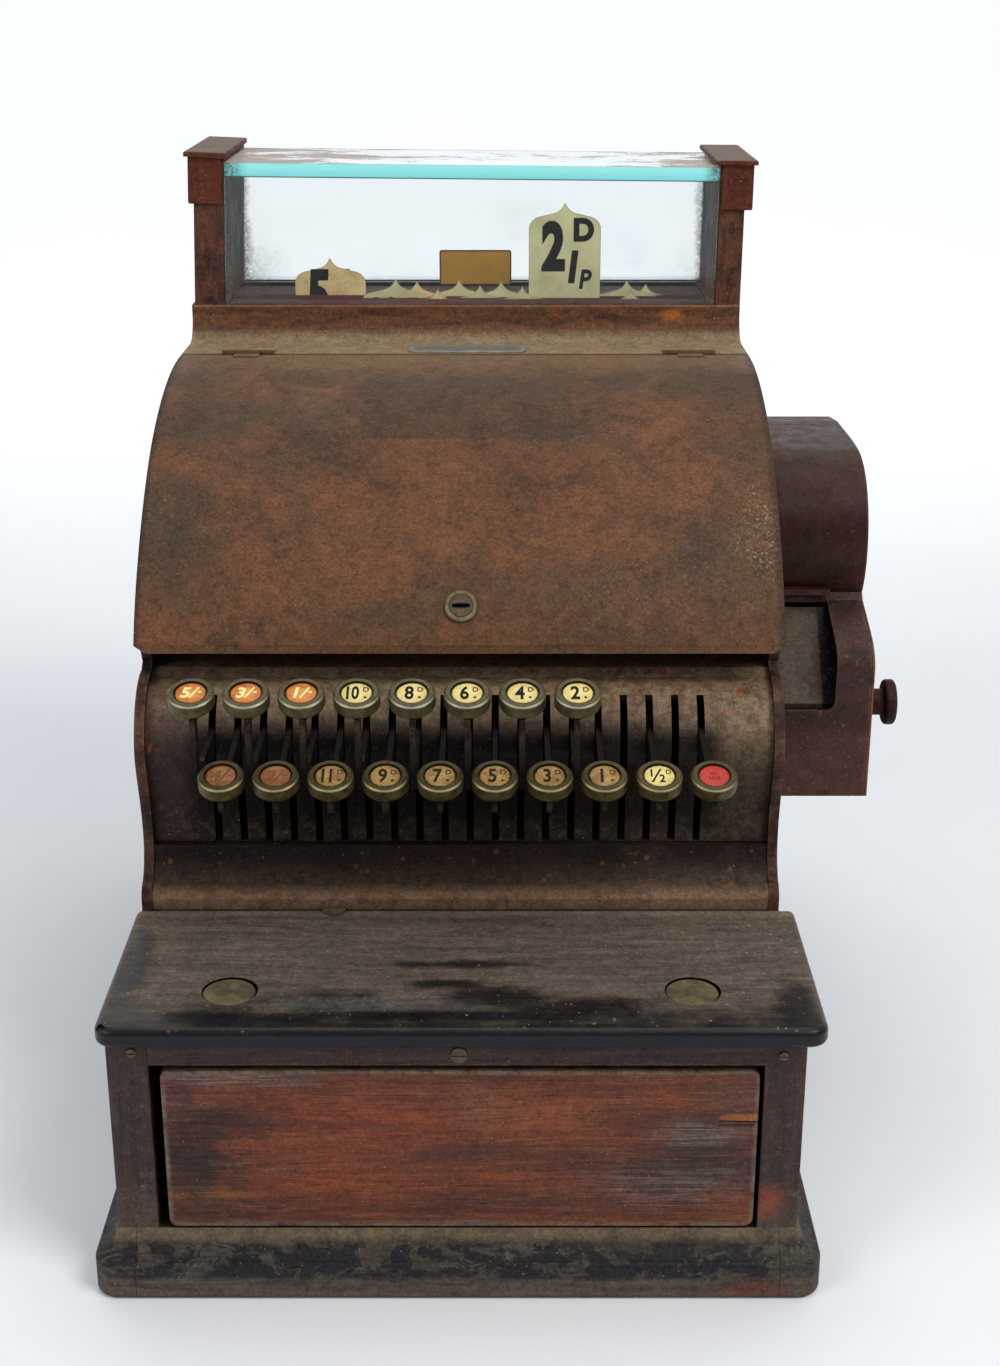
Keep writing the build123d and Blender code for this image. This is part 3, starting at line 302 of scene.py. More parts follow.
def mat_lid():
    g = G("lid_lacquer")
    x, y, z = g.xyz()
    w = g.warp(14, 0.03)
    big = g.noise(10, 4, 0.62, 0.6, co=w)
    mid = g.noise(34, 7, 0.74, 0.5)
    # brushed figure: long in X, turning slowly
    grain = g.noise(1, 6, 0.78, 0.9, co=g.stretch(170, 560, 560, co=g.warp(9, 0.05)))
    c = g.ramp(big, [(0.30, col(80, 62, 49)), (0.44, col(98, 69, 50)), (0.56, col(112, 75, 51)), (0.70, col(117, 79, 52))])
    c = g.mix(g.range(mid, 0.48, 0.66, 0, 0.62), c, col(72, 58, 48))
    c = g.mix(g.range(mid, 0.46, 0.30, 0, 0.5), c, col(126, 80, 50))
    # faint burl arches, strongest at the lower left
    ring = g.node("ShaderNodeTexWave", wave_type="RINGS", rings_direction="Z", wave_profile="SIN")
    g.put(ring.inputs["Vector"], g.stretch(1, 1.35, 1.35, (0.095, 0.115, -0.38), co=g.warp(30, 0.035)))
    ring.inputs["Scale"].default_value = 58
    ring.inputs["Distortion"].default_value = 3.6
    ring.inputs["Detail"].default_value = 4
    ring.inputs["Detail Scale"].default_value = 2.4
    arch = g.add(g.blob((-0.115, -0.09, 0.297), (0.07, 0.05, 0.045), 0.8), g.mul(g.blob((-0.07, -0.04, 0.345), (0.06, 0.05, 0.03), 0.8), 0.6),
                 g.mul(g.blob((0.05, -0.05, 0.335), (0.06, 0.05, 0.03), 0.8), 0.5))
    rings = g.mul(g.range(ring.outputs["Fac"], 0.25, 0.9), g.range(mid, 0.35, 0.6, 0.3, 1.0), arch)
    c = g.mix(g.mul(rings, 0.20), c, col(60, 48, 41))
    c = g.mix(g.range(grain, 0.46, 0.72, 0, 0.44), c, col(66, 51, 42))
    c = g.mix(g.range(grain, 0.46, 0.28, 0, 0.30), c, col(142, 98, 68))
    # grey-green worn areas
    for p, r, a in (((-0.150, -0.055, 0.330), (0.035, 0.05, 0.036), 0.66), ((-0.138, -0.075, 0.305), (0.032, 0.03, 0.03), 0.42),
                    ((-0.142, 0.00, 0.366), (0.036, 0.03, 0.03), 0.60), ((-0.09, 0.012, 0.371), (0.055, 0.018, 0.03), 0.44),
                    ((-0.10, -0.03, 0.352), (0.05, 0.012, 0.02), 0.30), ((0.05, -0.085, 0.30), (0.07, 0.02, 0.02), 0.34),
                    ((0.12, -0.07, 0.318), (0.04, 0.03, 0.03), 0.42), ((-0.035, -0.095, 0.29), (0.04, 0.012, 0.014), 0.4),
                    ((0.13, 0.04, 0.38), (0.05, 0.03, 0.03), 0.34), ((0.148, -0.02, 0.350), (0.02, 0.04, 0.03), 0.40),
                    ((0.05, -0.01, 0.36), (0.04, 0.012, 0.03), 0.26)):
        c = g.mix(g.mul(g.blob(p, r, 0.75, 0.6, 55), a), c, col(62, 57, 50))
    # oblong stain where a label once sat
    stain = g.mul(g.between(x, -0.0530, 0.0585, 0.0012), g.range(y, -0.0148, -0.0132), g.range(y, 0.040, 0.052, 1, 0))
    c = g.mix(g.mul(stain, g.range(mid, 0.3, 0.62, 0.72, 0.44)), c, col(66, 57, 48))
    # pale speckled patch at the right
    sp = g.noise(640, 3, 0.8)
    pale = g.mul(g.blob((0.150, -0.062, 0.324), (0.015, 0.045, 0.030), 0.85, 0.9, 100), g.range(sp, 0.53, 0.66))
    c = g.mix(g.mul(pale, 0.62), c, col(176, 162, 140))
    pale2 = g.mul(g.blob((0.11, -0.083, 0.305), (0.07, 0.03, 0.04), 0.85, 0.8, 70), g.range(sp, 0.57, 0.70))
    c = g.mix(g.mul(pale2, 0.42), c, col(150, 134, 116))
    pale3 = g.mul(g.blob((-0.152, -0.055, 0.33), (0.012, 0.03, 0.02), 0.85, 0.8, 70), g.range(sp, 0.58, 0.68))
    c = g.mix(g.mul(pale3, 0.4), c, col(176, 150, 112))
    # tan dust towards the hinge
    up = g.range(g.add(y, g.mul(g.math("SUBTRACT", mid, 0.5), 0.06)), 0.026, 0.094)
    c = g.mix(g.mul(up, g.range(g.noise(300, 5, 0.8), 0.30, 0.62, 0.35, 1.0), 0.70), c, col(128, 108, 82))
    dark = g.mul(g.between(y, 0.020, 0.058, 0.014), g.range(mid, 0.3, 0.58), 0.55)
    c = g.mix(dark, c, col(72, 61, 50))
    # margins: rubbed lower edge, dark side edges
    low = g.range(z, 0.2752, 0.2790, 1, 0)
    c = g.mix(g.mul(low, 0.6), c, col(112, 82, 60))
    side = g.most(g.range(x, 0.1550, 0.1592), g.range(x, -0.1592, -0.1565, 1, 0))
    c = g.mix(g.mul(side, 0.62), c, col(50, 38, 33))
    # knuckles
    knuckle = g.range(y, 0.0905, 0.0925)
    c = g.mix(g.mul(knuckle, 0.9), c, g.mix(mid, col(62, 34, 26), col(104, 62, 44)))
    # painted light and shade: the middle of the lid darkened, its upper left lightened
    c = g.tone(c, g.range(g.blob((0.0, -0.025, 0.345), (0.12, 0.055, 0.05), 0.9, 0.3, 40), 0, 1, 1.0, 0.84))
    c = g.tone(c, g.range(g.blob((-0.10, 0.03, 0.372), (0.08, 0.05, 0.03), 0.9, 0.3, 40), 0, 1, 1.0, 1.14))
    c = grit(g, c, 0.44, 620)
    pit = g.mul(g.range(g.noise(1500, 2, 0.6), 0.60, 0.72), 0.5)
    c = g.mix(pit, c, col(40, 30, 25))
    a, b2 = fine_dust(g, 1.0)
    c = g.mix(g.mul(a, 0.22), c, col(176, 146, 112))
    c = g.mix(g.mul(g.specks(640, 0.34, 0.2, seed=9.0), 0.42), c, col(46, 36, 31))
    c = g.mix(g.mul(b2, 0.6), c, col(190, 164, 126))
    c = g.mix(g.mul(g.specks(360, 0.22, 0.06, seed=5.5), 0.85), c, col(156, 84, 38))
    c = g.mix(g.mul(g.specks(80, 0.055, 0.07, seed=12.5), 0.95), c, col(216, 204, 180))
    ao = g.range(g.ao(0.012), 0.25, 0.95, 0.62, 1.0)
    c = g.tone(c, ao)
    h = g.add(g.mul(grain, 0.6), g.mul(g.noise(1100, 3, 0.8), 0.5), g.mul(mid, 0.8))
    return g.finish(c, g.range(mid, 0.3, 0.75, 0.46, 0.72), g.bump(h, 0.45, 0.0006), spec=0.14)


def mat_rail():
    g = G("rail_lacquer")
    x, y, z = g.xyz()
    nz = g.normal()[2]
    streak = g.noise(1, 5, 0.7, 0.5, co=g.stretch(26, 200, 230, co=g.warp(20, 0.012)))
    mid = g.noise(60, 5, 0.65)
    c = g.ramp(streak, [(0.30, col(62, 45, 35)), (0.46, col(90, 60, 42)), (0.60, col(107, 70, 46)), (0.78, col(84, 64, 48))])
    c = g.mix(g.range(mid, 0.48, 0.70, 0, 0.55), c, col(66, 56, 43))
    orange = g.mul(g.range(g.noise(95, 4, 0.7, co=g.stretch(0.5, 1, 1)), 0.60, 0.72), 0.32)
    c = g.mix(orange, c, col(150, 88, 42))
    c = g.mix(g.mul(g.blob((0.120, 0.1405, 0.398), (0.008, 0.01, 0.004), 0.8, 0.5, 300), 0.9), c, col(170, 98, 36))
    # deck and cove gather tan dust
    flat = g.mul(g.range(nz, 0.45, 0.98), g.range(z, 0.395, 0.388, 0, 1))
    dust = g.mul(flat, g.range(g.noise(240, 4, 0.72), 0.22, 0.62, 0.6, 1.0))
    c = g.mix(g.mul(dust, 0.94), c, g.mix(mid, col(126, 109, 83), col(154, 134, 103)))
    # rail's top lip inside the window: maroon
    lip = g.mul(g.range(nz, 0.8, 0.95), g.range(z, 0.4025, 0.4036))
    c = g.mix(g.mul(lip, 0.92), c, g.mix(streak, col(84, 22, 26), col(112, 34, 34)))
    c = g.mix(g.mul(g.between(z, 0.4028, 0.4042, 0.0004), g.range(y, 0.1406, 0.1412, 1, 0), 0.6), c, col(152, 116, 88))
    # knuckles
    kx = None
    for k in (-0.1225, 0.127):
        t = g.between(x, k - 0.0148, k + 0.0148, 0.0003)
        kx = t if kx is None else g.most(kx, t)
    kn = g.mul(kx, g.range(y, 0.0975, 0.0968, 0, 1))
    c = g.mix(kn, c, g.mix(mid, col(70, 38, 30), col(104, 62, 45)))
    c = g.mix(g.mul(g.edge(0.0012), 0.5), c, col(122, 92, 68))
    c = grit(g, c, 0.40, 560)
    c = g.tone(c, g.range(g.ao(0.01), 0.2, 0.9, 0.5, 1.0))
    a, b2 = fine_dust(g, 4.0)
    c = g.mix(g.mul(a, 0.35), c, col(170, 142, 106))
    c = g.mix(g.mul(b2, 0.7), c, col(205, 184, 146))
    h = g.add(g.mul(streak, 0.8), g.mul(g.noise(1300, 2, 0.7), 0.4))
    return g.finish(c, g.range(mid, 0.3, 0.7, 0.5, 0.75), g.bump(h, 0.35, 0.0005), spec=0.12)


def mat_dark_metal(name, kind):
    """Blackened lacquer: 'panel', 'toe', 'plates', 'back'."""
    g = G(name)
    x, y, z = g.xyz()
    nz = g.normal()[2]
    big = g.noise(24, 4, 0.6, 0.4)
    mid = g.noise(85, 5, 0.7)
    fine = g.noise(900, 3, 0.7)
    c = g.ramp(big, [(0.3, col(27, 20, 19)), (0.5, col(36, 27, 25)), (0.7, col(46, 34, 30))])
    c = g.mix(g.range(mid, 0.52, 0.74, 0, 0.55), c, col(62, 48, 41))
    if kind == "panel":
        # dust film, thickest at the top and at the right, where it is partly painted light falling from that side
        film = g.add(g.range(z, 0.228, 0.250), g.mul(g.range(x, 0.03, 0.15), g.range(z, 0.175, 0.262, 0.10, 0.7)))
        film = g.math("MINIMUM", film, 1.0)
        film = g.mul(film, g.range(g.noise(150, 5, 0.8), 0.30, 0.64, 0.35, 1.0))
        c = g.mix(g.mul(film, 0.9), c, g.mix(mid, col(128, 105, 82), col(158, 133, 104)))
        lowfilm = g.mul(g.range(z, 0.180, 0.206, 1, 0), g.range(g.noise(210, 4, 0.75), 0.42, 0.66), 0.55)
        c = g.mix(lowfilm, c, col(92, 76, 61))
        c = g.mix(g.mul(g.range(x, -0.128, -0.142), g.range(mid, 0.3, 0.6, 0.3, 0.9), 0.7), c, col(66, 51, 47))
        rust = g.mul(g.range(g.noise(130, 3, 0.6, co=g.stretch(1, 1, 1, (3, 1, 7))), 0.63, 0.70),
                     g.most(g.mul(g.range(z, 0.236, 0.25), g.range(x, -0.02, 0.06)), g.range(x, -0.148, -0.1535, 0, 1)))
        c = g.mix(g.mul(rust, 0.85), c, g.mix(fine, col(120, 52, 26), col(158, 84, 38)))
        r2 = g.mul(g.specks(210, 0.36, 0.2, seed=2.2), g.range(z, 0.235, 0.255))
        c = g.mix(g.mul(r2, 0.8), c, col(128, 66, 36))
        # worn bars between the slots
        bar = g.mul(g.between(z, 0.172, 0.258, 0.004), g.range(g.noise(1, 4, 0.7, co=g.stretch(300, 120, 60)), 0.45, 0.75), g.range(x, -0.02, 0.06, 0.2, 0.5))
        c = g.mix(bar, c, col(74, 60, 50))
        # painted shade: near black between the key rows, under the upper caps
        c = g.mix(g.mul(g.between(z, 0.184, 0.240, 0.010), g.between(x, -0.133, 0.128, 0.006), 0.84), c, col(15, 12, 12))
    elif kind == "toe":
        d = g.mul(g.range(nz, 0.25, 0.9), g.range(g.noise(190, 4, 0.75), 0.3, 0.62, 0.35, 1))
        d = g.mul(d, g.range(z, 0.172, 0.152, 0.12, 0.8))
        c = g.mix(g.mul(d, 0.8), c, g.mix(mid, col(92, 73, 56), col(122, 98, 74)))
        lip = g.mul(g.range(z, 0.1575, 0.1520), g.range(g.noise(140, 5, 0.8), 0.3, 0.6, 0.6, 1.0))
        c = g.mix(lip, c, g.mix(mid, col(114, 84, 68), col(158, 130, 104)))
        c = g.mix(g.mul(g.specks(170, 0.3, 0.16, seed=6.0), 0.55), c, col(132, 82, 48))
    elif kind == "plates":
        front = g.range(y, -0.075, -0.098)
        c = g.mix(g.mul(front, g.range(mid, 0.3, 0.62), 0.85), c, g.mix(fine, col(80, 54, 42), col(104, 74, 56)))
        side = g.math("ABSOLUTE", g.normal()[0])
        face = g.range(side, 0.5, 0.9)
        c = g.mix(g.mul(face, 0.75), c, g.ramp(g.noise(30, 5, 0.66, 0.6), [(0.3, col(44, 32, 29)), (0.55, col(66, 45, 37)), (0.75, col(82, 60, 46))]))
        c = g.mix(g.mul(g.edge(0.0018), g.range(mid, 0.36, 0.6), 0.7), c, col(118, 84, 62))
        rust = g.range(g.noise(150, 4, 0.65, co=g.stretch(1, 1, 1, (5, 2, 1))), 0.62, 0.72)
        c = g.mix(g.mul(rust, 0.6), c, col(126, 66, 34))
    else:
        c = g.mix(g.range(mid, 0.45, 0.7, 0, 0.6), c, col(78, 60, 48))
        c = g.mix(g.mul(g.range(g.noise(70, 4, 0.7), 0.58, 0.72), 0.6), c, col(112, 62, 36))
    c = grit(g, c, 0.42, 700)
    c = g.tone(c, g.range(g.ao(0.014), 0.12, 0.85, 0.42, 1.0))
    a, b2 = fine_dust(g, 7.0)
    c = g.mix(g.mul(a, 0.28), c, col(140, 118, 92))
    c = g.mix(g.mul(b2, 0.6), c, col(190, 172, 140))
    h = g.add(g.mul(mid, 0.9), g.mul(fine, 0.5))
    return g.finish(c, g.range(mid, 0.3, 0.7, 0.42, 0.68), g.bump(h, 0.3, 0.0005), spec=0.12)


def mat_wood_post():
    g = G("post_wood")
    x, y, z = g.xyz()
    nz = g.normal()[2]
    grain = g.noise(1, 5, 0.7, 0.4, co=g.stretch(260, 260, 34, co=g.warp(30, 0.006)))
    mid = g.noise(70, 5, 0.68)
    block = g.range(g.math("SUBTRACT", z, g.range(x, -0.01, 0.01, 0.4609, 0.4580)), -0.0004, 0.0003)
    body = g.ramp(grain, [(0.3, col(62, 41, 33)), (0.5, col(88, 55, 42)), (0.72, col(106, 64, 46))])
    blk = g.ramp(grain, [(0.3, col(66, 33, 25)), (0.5, col(89, 44, 30)), (0.72, col(102, 52, 34))])
    c = g.mix(block, body, blk)
    c = g.mix(g.mul(g.range(mid, 0.5, 0.66, 0, 0.85), g.range(block, 0, 1, 1, 0.45)), c, col(44, 34, 31))
    c = g.mix(g.mul(g.range(g.noise(120, 4, 0.7), 0.62, 0.7), 0.6), c, col(128, 76, 46))
    # inner faces: dirty grey
    rise = g.math("SUBTRACT", z, 0.404)
    in_l = g.math("GREATER_THAN", g.math("SUBTRACT", x, g.mul(rise, 0.04016)), -0.1412)
    in_r = g.math("LESS_THAN", g.math("SUBTRACT", x, g.mul(rise, 0.00698)), 0.1456)
    inner = g.mul(in_l, in_r, g.range(z, 0.4838, 0.4832, 0, 1))
    grime = g.ramp(g.noise(420, 4, 0.8), [(0.35, col(20, 18, 19)), (0.52, col(46, 43, 42)), (0.70, col(104, 100, 94))])
    grime = g.mix(g.range(g.add(rise, g.mul(g.math("SUBTRACT", mid, 0.5), 0.02)), 0.016, 0.004), grime, col(84, 32, 30))
    c = g.mix(g.mul(inner, 0.95), c, grime)
    # cap tops: dusty olive
    top = g.range(nz, 0.7, 0.95)
    c = g.mix(g.mul(top, 0.8), c, g.ramp(mid, [(0.35, col(86, 76, 64)), (0.6, col(116, 102, 84)), (0.75, col(84, 60, 48))]))
    c = g.mix(g.mul(g.edge(0.0014), 0.7), c, g.mix(g.range(mid, 0.45, 0.55), col(36, 26, 24), col(126, 88, 64)))
    c = grit(g, c, 0.38, 620)
    c = g.tone(c, g.range(g.ao(0.008), 0.2, 0.85, 0.45, 1.0))
    a, b2 = fine_dust(g, 2.0)
    c = g.mix(g.mul(a, 0.35), c, col(150, 118, 88))
    c = g.mix(g.mul(b2, 0.7), c, col(180, 150, 112))
    h = g.add(g.mul(grain, 0.8), g.mul(mid, 0.5))
    return g.finish(c, g.range(mid, 0.3, 0.7, 0.48, 0.7), g.bump(h, 0.35, 0.0005), spec=0.12)


def mat_case():
    g = G("case_wood")
    x, y, z = g.xyz()
    grain = g.noise(1, 6, 0.72, 0.5, co=g.stretch(330, 330, 16, co=g.warp(16, 0.006)))
    across = g.noise(1, 6, 0.72, 0.5, co=g.stretch(14, 330, 330, co=g.warp(16, 0.006)))
    inside = g.mul(g.range(x, -0.1412, -0.1408), g.range(x, 0.1408, 0.1412, 1, 0))
    gr = g.node("ShaderNodeMix", data_type="FLOAT")
    g.put(gr.inputs[0], inside)
    g.put(gr.inputs[2], grain)
    g.put(gr.inputs[3], across)
    gr = gr.outputs[0]
    mid = g.noise(45, 5, 0.7)
    c = g.ramp(gr, [(0.28, col(38, 30, 30)), (0.48, col(58, 45, 44)), (0.64, col(74, 54, 49)), (0.8, col(86, 62, 52))])
    c = g.mix(g.range(mid, 0.52, 0.74, 0, 0.6), c, col(84, 52, 42))
    c = g.mix(g.range(mid, 0.42, 0.28, 0, 0.5), c, col(40, 36, 38))
    dust = g.mul(g.range(g.noise(170, 5, 0.75), 0.5, 0.72), g.range(z, 0.125, 0.03, 0.3, 0.75))
    c = g.mix(g.mul(dust, 0.6), c, col(106, 94, 82))
    # worn and dusty near the foot of the posts
    foot = g.range(g.add(z, g.mul(g.math("SUBTRACT", mid, 0.5), 0.03)), 0.062, 0.030)
    c = g.mix(g.mul(foot, 0.5), c, col(96, 84, 72))
    c = g.mix(g.mul(g.edge(0.0014), g.range(g.noise(160, 3), 0.35, 0.6), 0.6), c, col(122, 88, 66))
    red = g.mul(g.blob((0.146, -0.231, 0.046), (0.009, 0.01, 0.012), 0.9, 0.8, 120), 0.7)
    c = g.mix(red, c, col(132, 62, 44))
    c = grit(g, c, 0.36, 640)
    c = g.tone(c, g.range(g.ao(0.014), 0.15, 0.85, 0.30, 1.0))
    a, b2 = fine_dust(g, 3.0)
    c = g.mix(g.mul(a, 0.3), c, col(140, 118, 96))
    c = g.mix(g.mul(b2, 0.6), c, col(180, 156, 126))
    return g.finish(c, g.range(mid, 0.3, 0.7, 0.4, 0.62), g.bump(g.add(gr, g.mul(mid, 0.5)), 0.32, 0.0006), spec=0.16)


def mat_shelf():
    g = G("shelf_wood")
    x, y, z = g.xyz()
    nz = g.normal()[2]
    grain = g.noise(1, 6, 0.72, 0.6, co=g.stretch(18, 250, 250, co=g.warp(14, 0.008)))
    mid = g.noise(42, 5, 0.7, 0.3)
    fine = g.noise(700, 3, 0.75)
    black = g.ramp(grain, [(0.3, col(12, 12, 14)), (0.6, col(22, 21, 23)), (0.8, col(34, 31, 32))])
    top = g.range(nz, 0.55, 0.92)
    film = g.ramp(grain, [(0.28, col(62, 54, 48)), (0.5, col(90, 79, 68)), (0.72, col(112, 99, 84))])
    film = g.mix(g.range(fine, 0.5, 0.75, 0, 0.5), film, col(118, 105, 90))
    cover = g.range(mid, 0.30, 0.5, 0.76, 1.0)
    cover = g.mul(cover, g.range(g.add(y, g.mul(g.math("SUBTRACT", mid, 0.5), 0.05)), -0.2445, -0.206, 0.06, 1.0))
    rub = None
    for p, r in (((-0.055, -0.216, 0.145), (0.05, 0.011, 0.02)), ((0.022, -0.214, 0.145), (0.040, 0.014, 0.02)),
                 ((0.055, -0.221, 0.145), (0.045, 0.012, 0.02)), ((-0.006, -0.200, 0.145), (0.028, 0.006, 0.02)),
                 ((0.010, -0.229, 0.145), (0.12, 0.007, 0.02)), ((0.0, -0.181, 0.145), (0.05, 0.005, 0.02)),
                 ((-0.155, -0.19, 0.145), (0.012, 0.045, 0.02)), ((0.155, -0.22, 0.145), (0.014, 0.03, 0.02)),
                 ((-0.10, -0.232, 0.145), (0.05, 0.008, 0.02))):
        b = g.blob(p, r, 0.85, 0.75, 55)
        rub = b if rub is None else g.most(rub, b)
    cover = g.mul(cover, g.range(rub, 0, 1, 1.0, 0.14), top)
    c = g.mix(cover, black, film)
    smear = g.mul(g.blob((-0.045, -0.218, 0.145), (0.055, 0.008, 0.02), 0.8, 0.9, 80), top, 0.4)
    c = g.mix(smear, c, col(112, 110, 106))
    # tan scatter at the right rear
    tan = g.mul(g.blob((0.105, -0.158, 0.145), (0.055, 0.03, 0.02), 0.9, 0.6, 60), g.range(g.noise(330, 3, 0.8), 0.55, 0.7), top)
    c = g.mix(g.mul(tan, 0.7), c, col(140, 108, 74))
    back = g.mul(g.range(y, -0.134, -0.127), top)
    c = g.mix(g.mul(back, 0.7), c, col(128, 112, 92))
    c = g.mix(g.mul(g.specks(210, 0.2, 0.1, seed=1.7), top, 0.9), c, col(150, 108, 66))
    c = g.mix(g.mul(g.specks(520, 0.26, 0.08, seed=8.7), top, 0.45), c, col(186, 172, 150))
    c = grit(g, c, 0.42, 520)
    chips = g.mul(g.edge(0.0016), g.range(g.noise(130, 4, 0.8), 0.55, 0.66))
    c = g.mix(g.mul(chips, 0.7), c, col(116, 92, 70))
    c = g.tone(c, g.range(g.ao(0.012), 0.15, 0.85, 0.4, 1.0))
    rough = g.math("ADD", 0.30, g.mul(cover, 0.42))
    return g.finish(c, rough, g.bump(g.add(grain, g.mul(mid, 0.7), g.mul(fine, 0.3)), 0.4, 0.0006), spec=0.24)


def mat_drawer_front():
    g = G("drawer_mahogany")
    x, y, z = g.xyz()
    grain = g.noise(1, 7, 0.76, 0.6, co=g.stretch(8, 220, 360, co=g.warp(10, 0.01)))
    pores = g.noise(1, 4, 0.82, 0.2, co=g.stretch(55, 900, 1500))
    fibre = g.noise(1, 5, 0.8, 0.3, co=g.stretch(20, 400, 800))
    big = g.noise(18, 5, 0.64, 0.6, co=g.stretch(0.55, 1, 1.5))
    c = g.ramp(grain, [(0.28, col(64, 36, 30)), (0.43, col(98, 50, 36)), (0.56, col(118, 60, 40)), (0.72, col(136, 74, 48))])
    c = g.mix(g.range(big, 0.47, 0.64, 0, 0.66), c, col(80, 46, 40))
    c = g.mix(g.range(big, 0.46, 0.30, 0, 0.62), c, col(146, 70, 38))
    # redder and cleaner places
    for p, r, a, k in (((-0.045, -0.2313, 0.086), (0.075, 0.03, 0.022), 0.5, (132, 58, 38)),
                       ((0.038, -0.2313, 0.092), (0.04, 0.03, 0.018), 0.45, (140, 74, 48)),
                       ((-0.055, -0.2313, 0.056), (0.05, 0.03, 0.014), 0.5, (140, 64, 34)),
                       ((0.010, -0.2313, 0.097), (0.012, 0.03, 0.016), 0.4, (146, 92, 66)),
                       ((-0.113, -0.2313, 0.050), (0.024, 0.03, 0.006), 0.6, (142, 86, 44))):
        c = g.mix(g.mul(g.blob(p, r, 0.9, 0.7, 50), a), c, col(*k))
    # ink-dark and handled areas
    for p, r, a, k in (((-0.124, -0.2313, 0.070), (0.026, 0.03, 0.024), 0.92, (40, 34, 34)),
                       ((-0.112, -0.2313, 0.090), (0.034, 0.03, 0.012), 0.82, (42, 34, 34)),
                       ((-0.128, -0.2313, 0.100), (0.010, 0.03, 0.014), 0.6, (56, 46, 42)),
                       ((-0.116, -0.2313, 0.042), (0.026, 0.03, 0.008), 0.7, (52, 42, 38)),
                       ((0.112, -0.2313, 0.068), (0.036, 0.03, 0.026), 0.8, (56, 46, 45)),
                       ((0.082, -0.2313, 0.060), (0.040, 0.03, 0.016), 0.5, (74, 46, 42)),
                       ((0.095, -0.2313, 0.092), (0.045, 0.03, 0.009), 0.55, (56, 38, 36)),
                       ((0.126, -0.2313, 0.104), (0.02, 0.03, 0.012), 0.55, (80, 60, 52)),
                       ((0.02, -0.2313, 0.072), (0.06, 0.03, 0.008), 0.40, (72, 44, 40)),
                       ((-0.03, -0.2313, 0.046), (0.08, 0.03, 0.008), 0.36, (76, 46, 40)),
                       ((0.06, -0.2313, 0.044), (0.06, 0.03, 0.007), 0.40, (70, 44, 40)),
                       ((-0.065, -0.2313, 0.088), (0.05, 0.03, 0.004), 0.45, (66, 36, 32))):
        c = g.mix(g.mul(g.blob(p, r, 0.7, 0.75, 70), g.range(fibre, 0.3, 0.68, 1.0, 0.66), a), c, col(*k))
    # dry grey wood at the right and along the top left
    pale = g.mul(g.most(g.blob((0.112, -0.2313, 0.084), (0.024, 0.03, 0.008), 0.9, 0.9, 90),
                        g.most(g.mul(g.blob((0.098, -0.2313, 0.055), (0.045, 0.03, 0.014), 0.9, 0.9, 90), 0.6),
                               g.mul(g.blob((-0.10, -0.2313, 0.1125), (0.05, 0.03, 0.004), 0.9, 0.9, 120), 0.9))),
                 g.range(fibre, 0.44, 0.60), 0.75)
    c = g.mix(pale, c, col(136, 122, 112))
    dusty = g.mul(g.range(g.noise(1, 5, 0.75, co=g.stretch(12, 100, 130)), 0.54, 0.70), g.range(fibre, 0.4, 0.6), 0.45)
    c = g.mix(dusty, c, col(116, 96, 86))
    c = g.mix(g.range(pores, 0.50, 0.66, 0, 0.6), c, col(44, 27, 25))
    c = g.mix(g.mul(g.range(pores, 0.44, 0.30), 0.34), c, col(166, 116, 86))
    # the crack shows fresh wood beside it
    crack = g.mul(g.between(z, 0.0905, 0.0945, 0.0008), g.range(x, 0.119, 0.126))
    c = g.mix(g.mul(crack, 0.8), c, col(156, 88, 44))
    crack = g.mul(g.between(z, 0.0880, 0.0896, 0.0005), g.range(x, 0.112, 0.124))
    c = g.mix(g.mul(crack, 0.8), c, col(30, 22, 20))
    # margins
    ex = g.most(g.range(x, -0.1325, -0.1352), g.range(x, 0.1360, 0.1385))
    ez = g.most(g.range(z, 0.0372, 0.0338), g.range(z, 0.1146, 0.1168))
    e = g.mul(g.most(ex, ez), g.range(g.noise(120, 5, 0.8), 0.34, 0.58))
    c = g.mix(g.mul(e, 0.72), c, g.mix(grain, col(80, 64, 54), col(150, 128, 106)))
    c = grit(g, c, 0.34, 600)
    c = g.tone(c, g.range(g.ao(0.008), 0.15, 0.8, 0.35, 1.0))
    c = g.mix(g.mul(g.specks(560, 0.22, 0.05, seed=3.3), 0.5), c, col(170, 146, 120))
    h = g.add(g.mul(grain, 0.9), g.mul(pores, 0.8), g.mul(fibre, 0.8))
    return g.finish(c, g.range(big, 0.3, 0.7, 0.44, 0.62), g.bump(h, 0.5, 0.0006), spec=0.14)


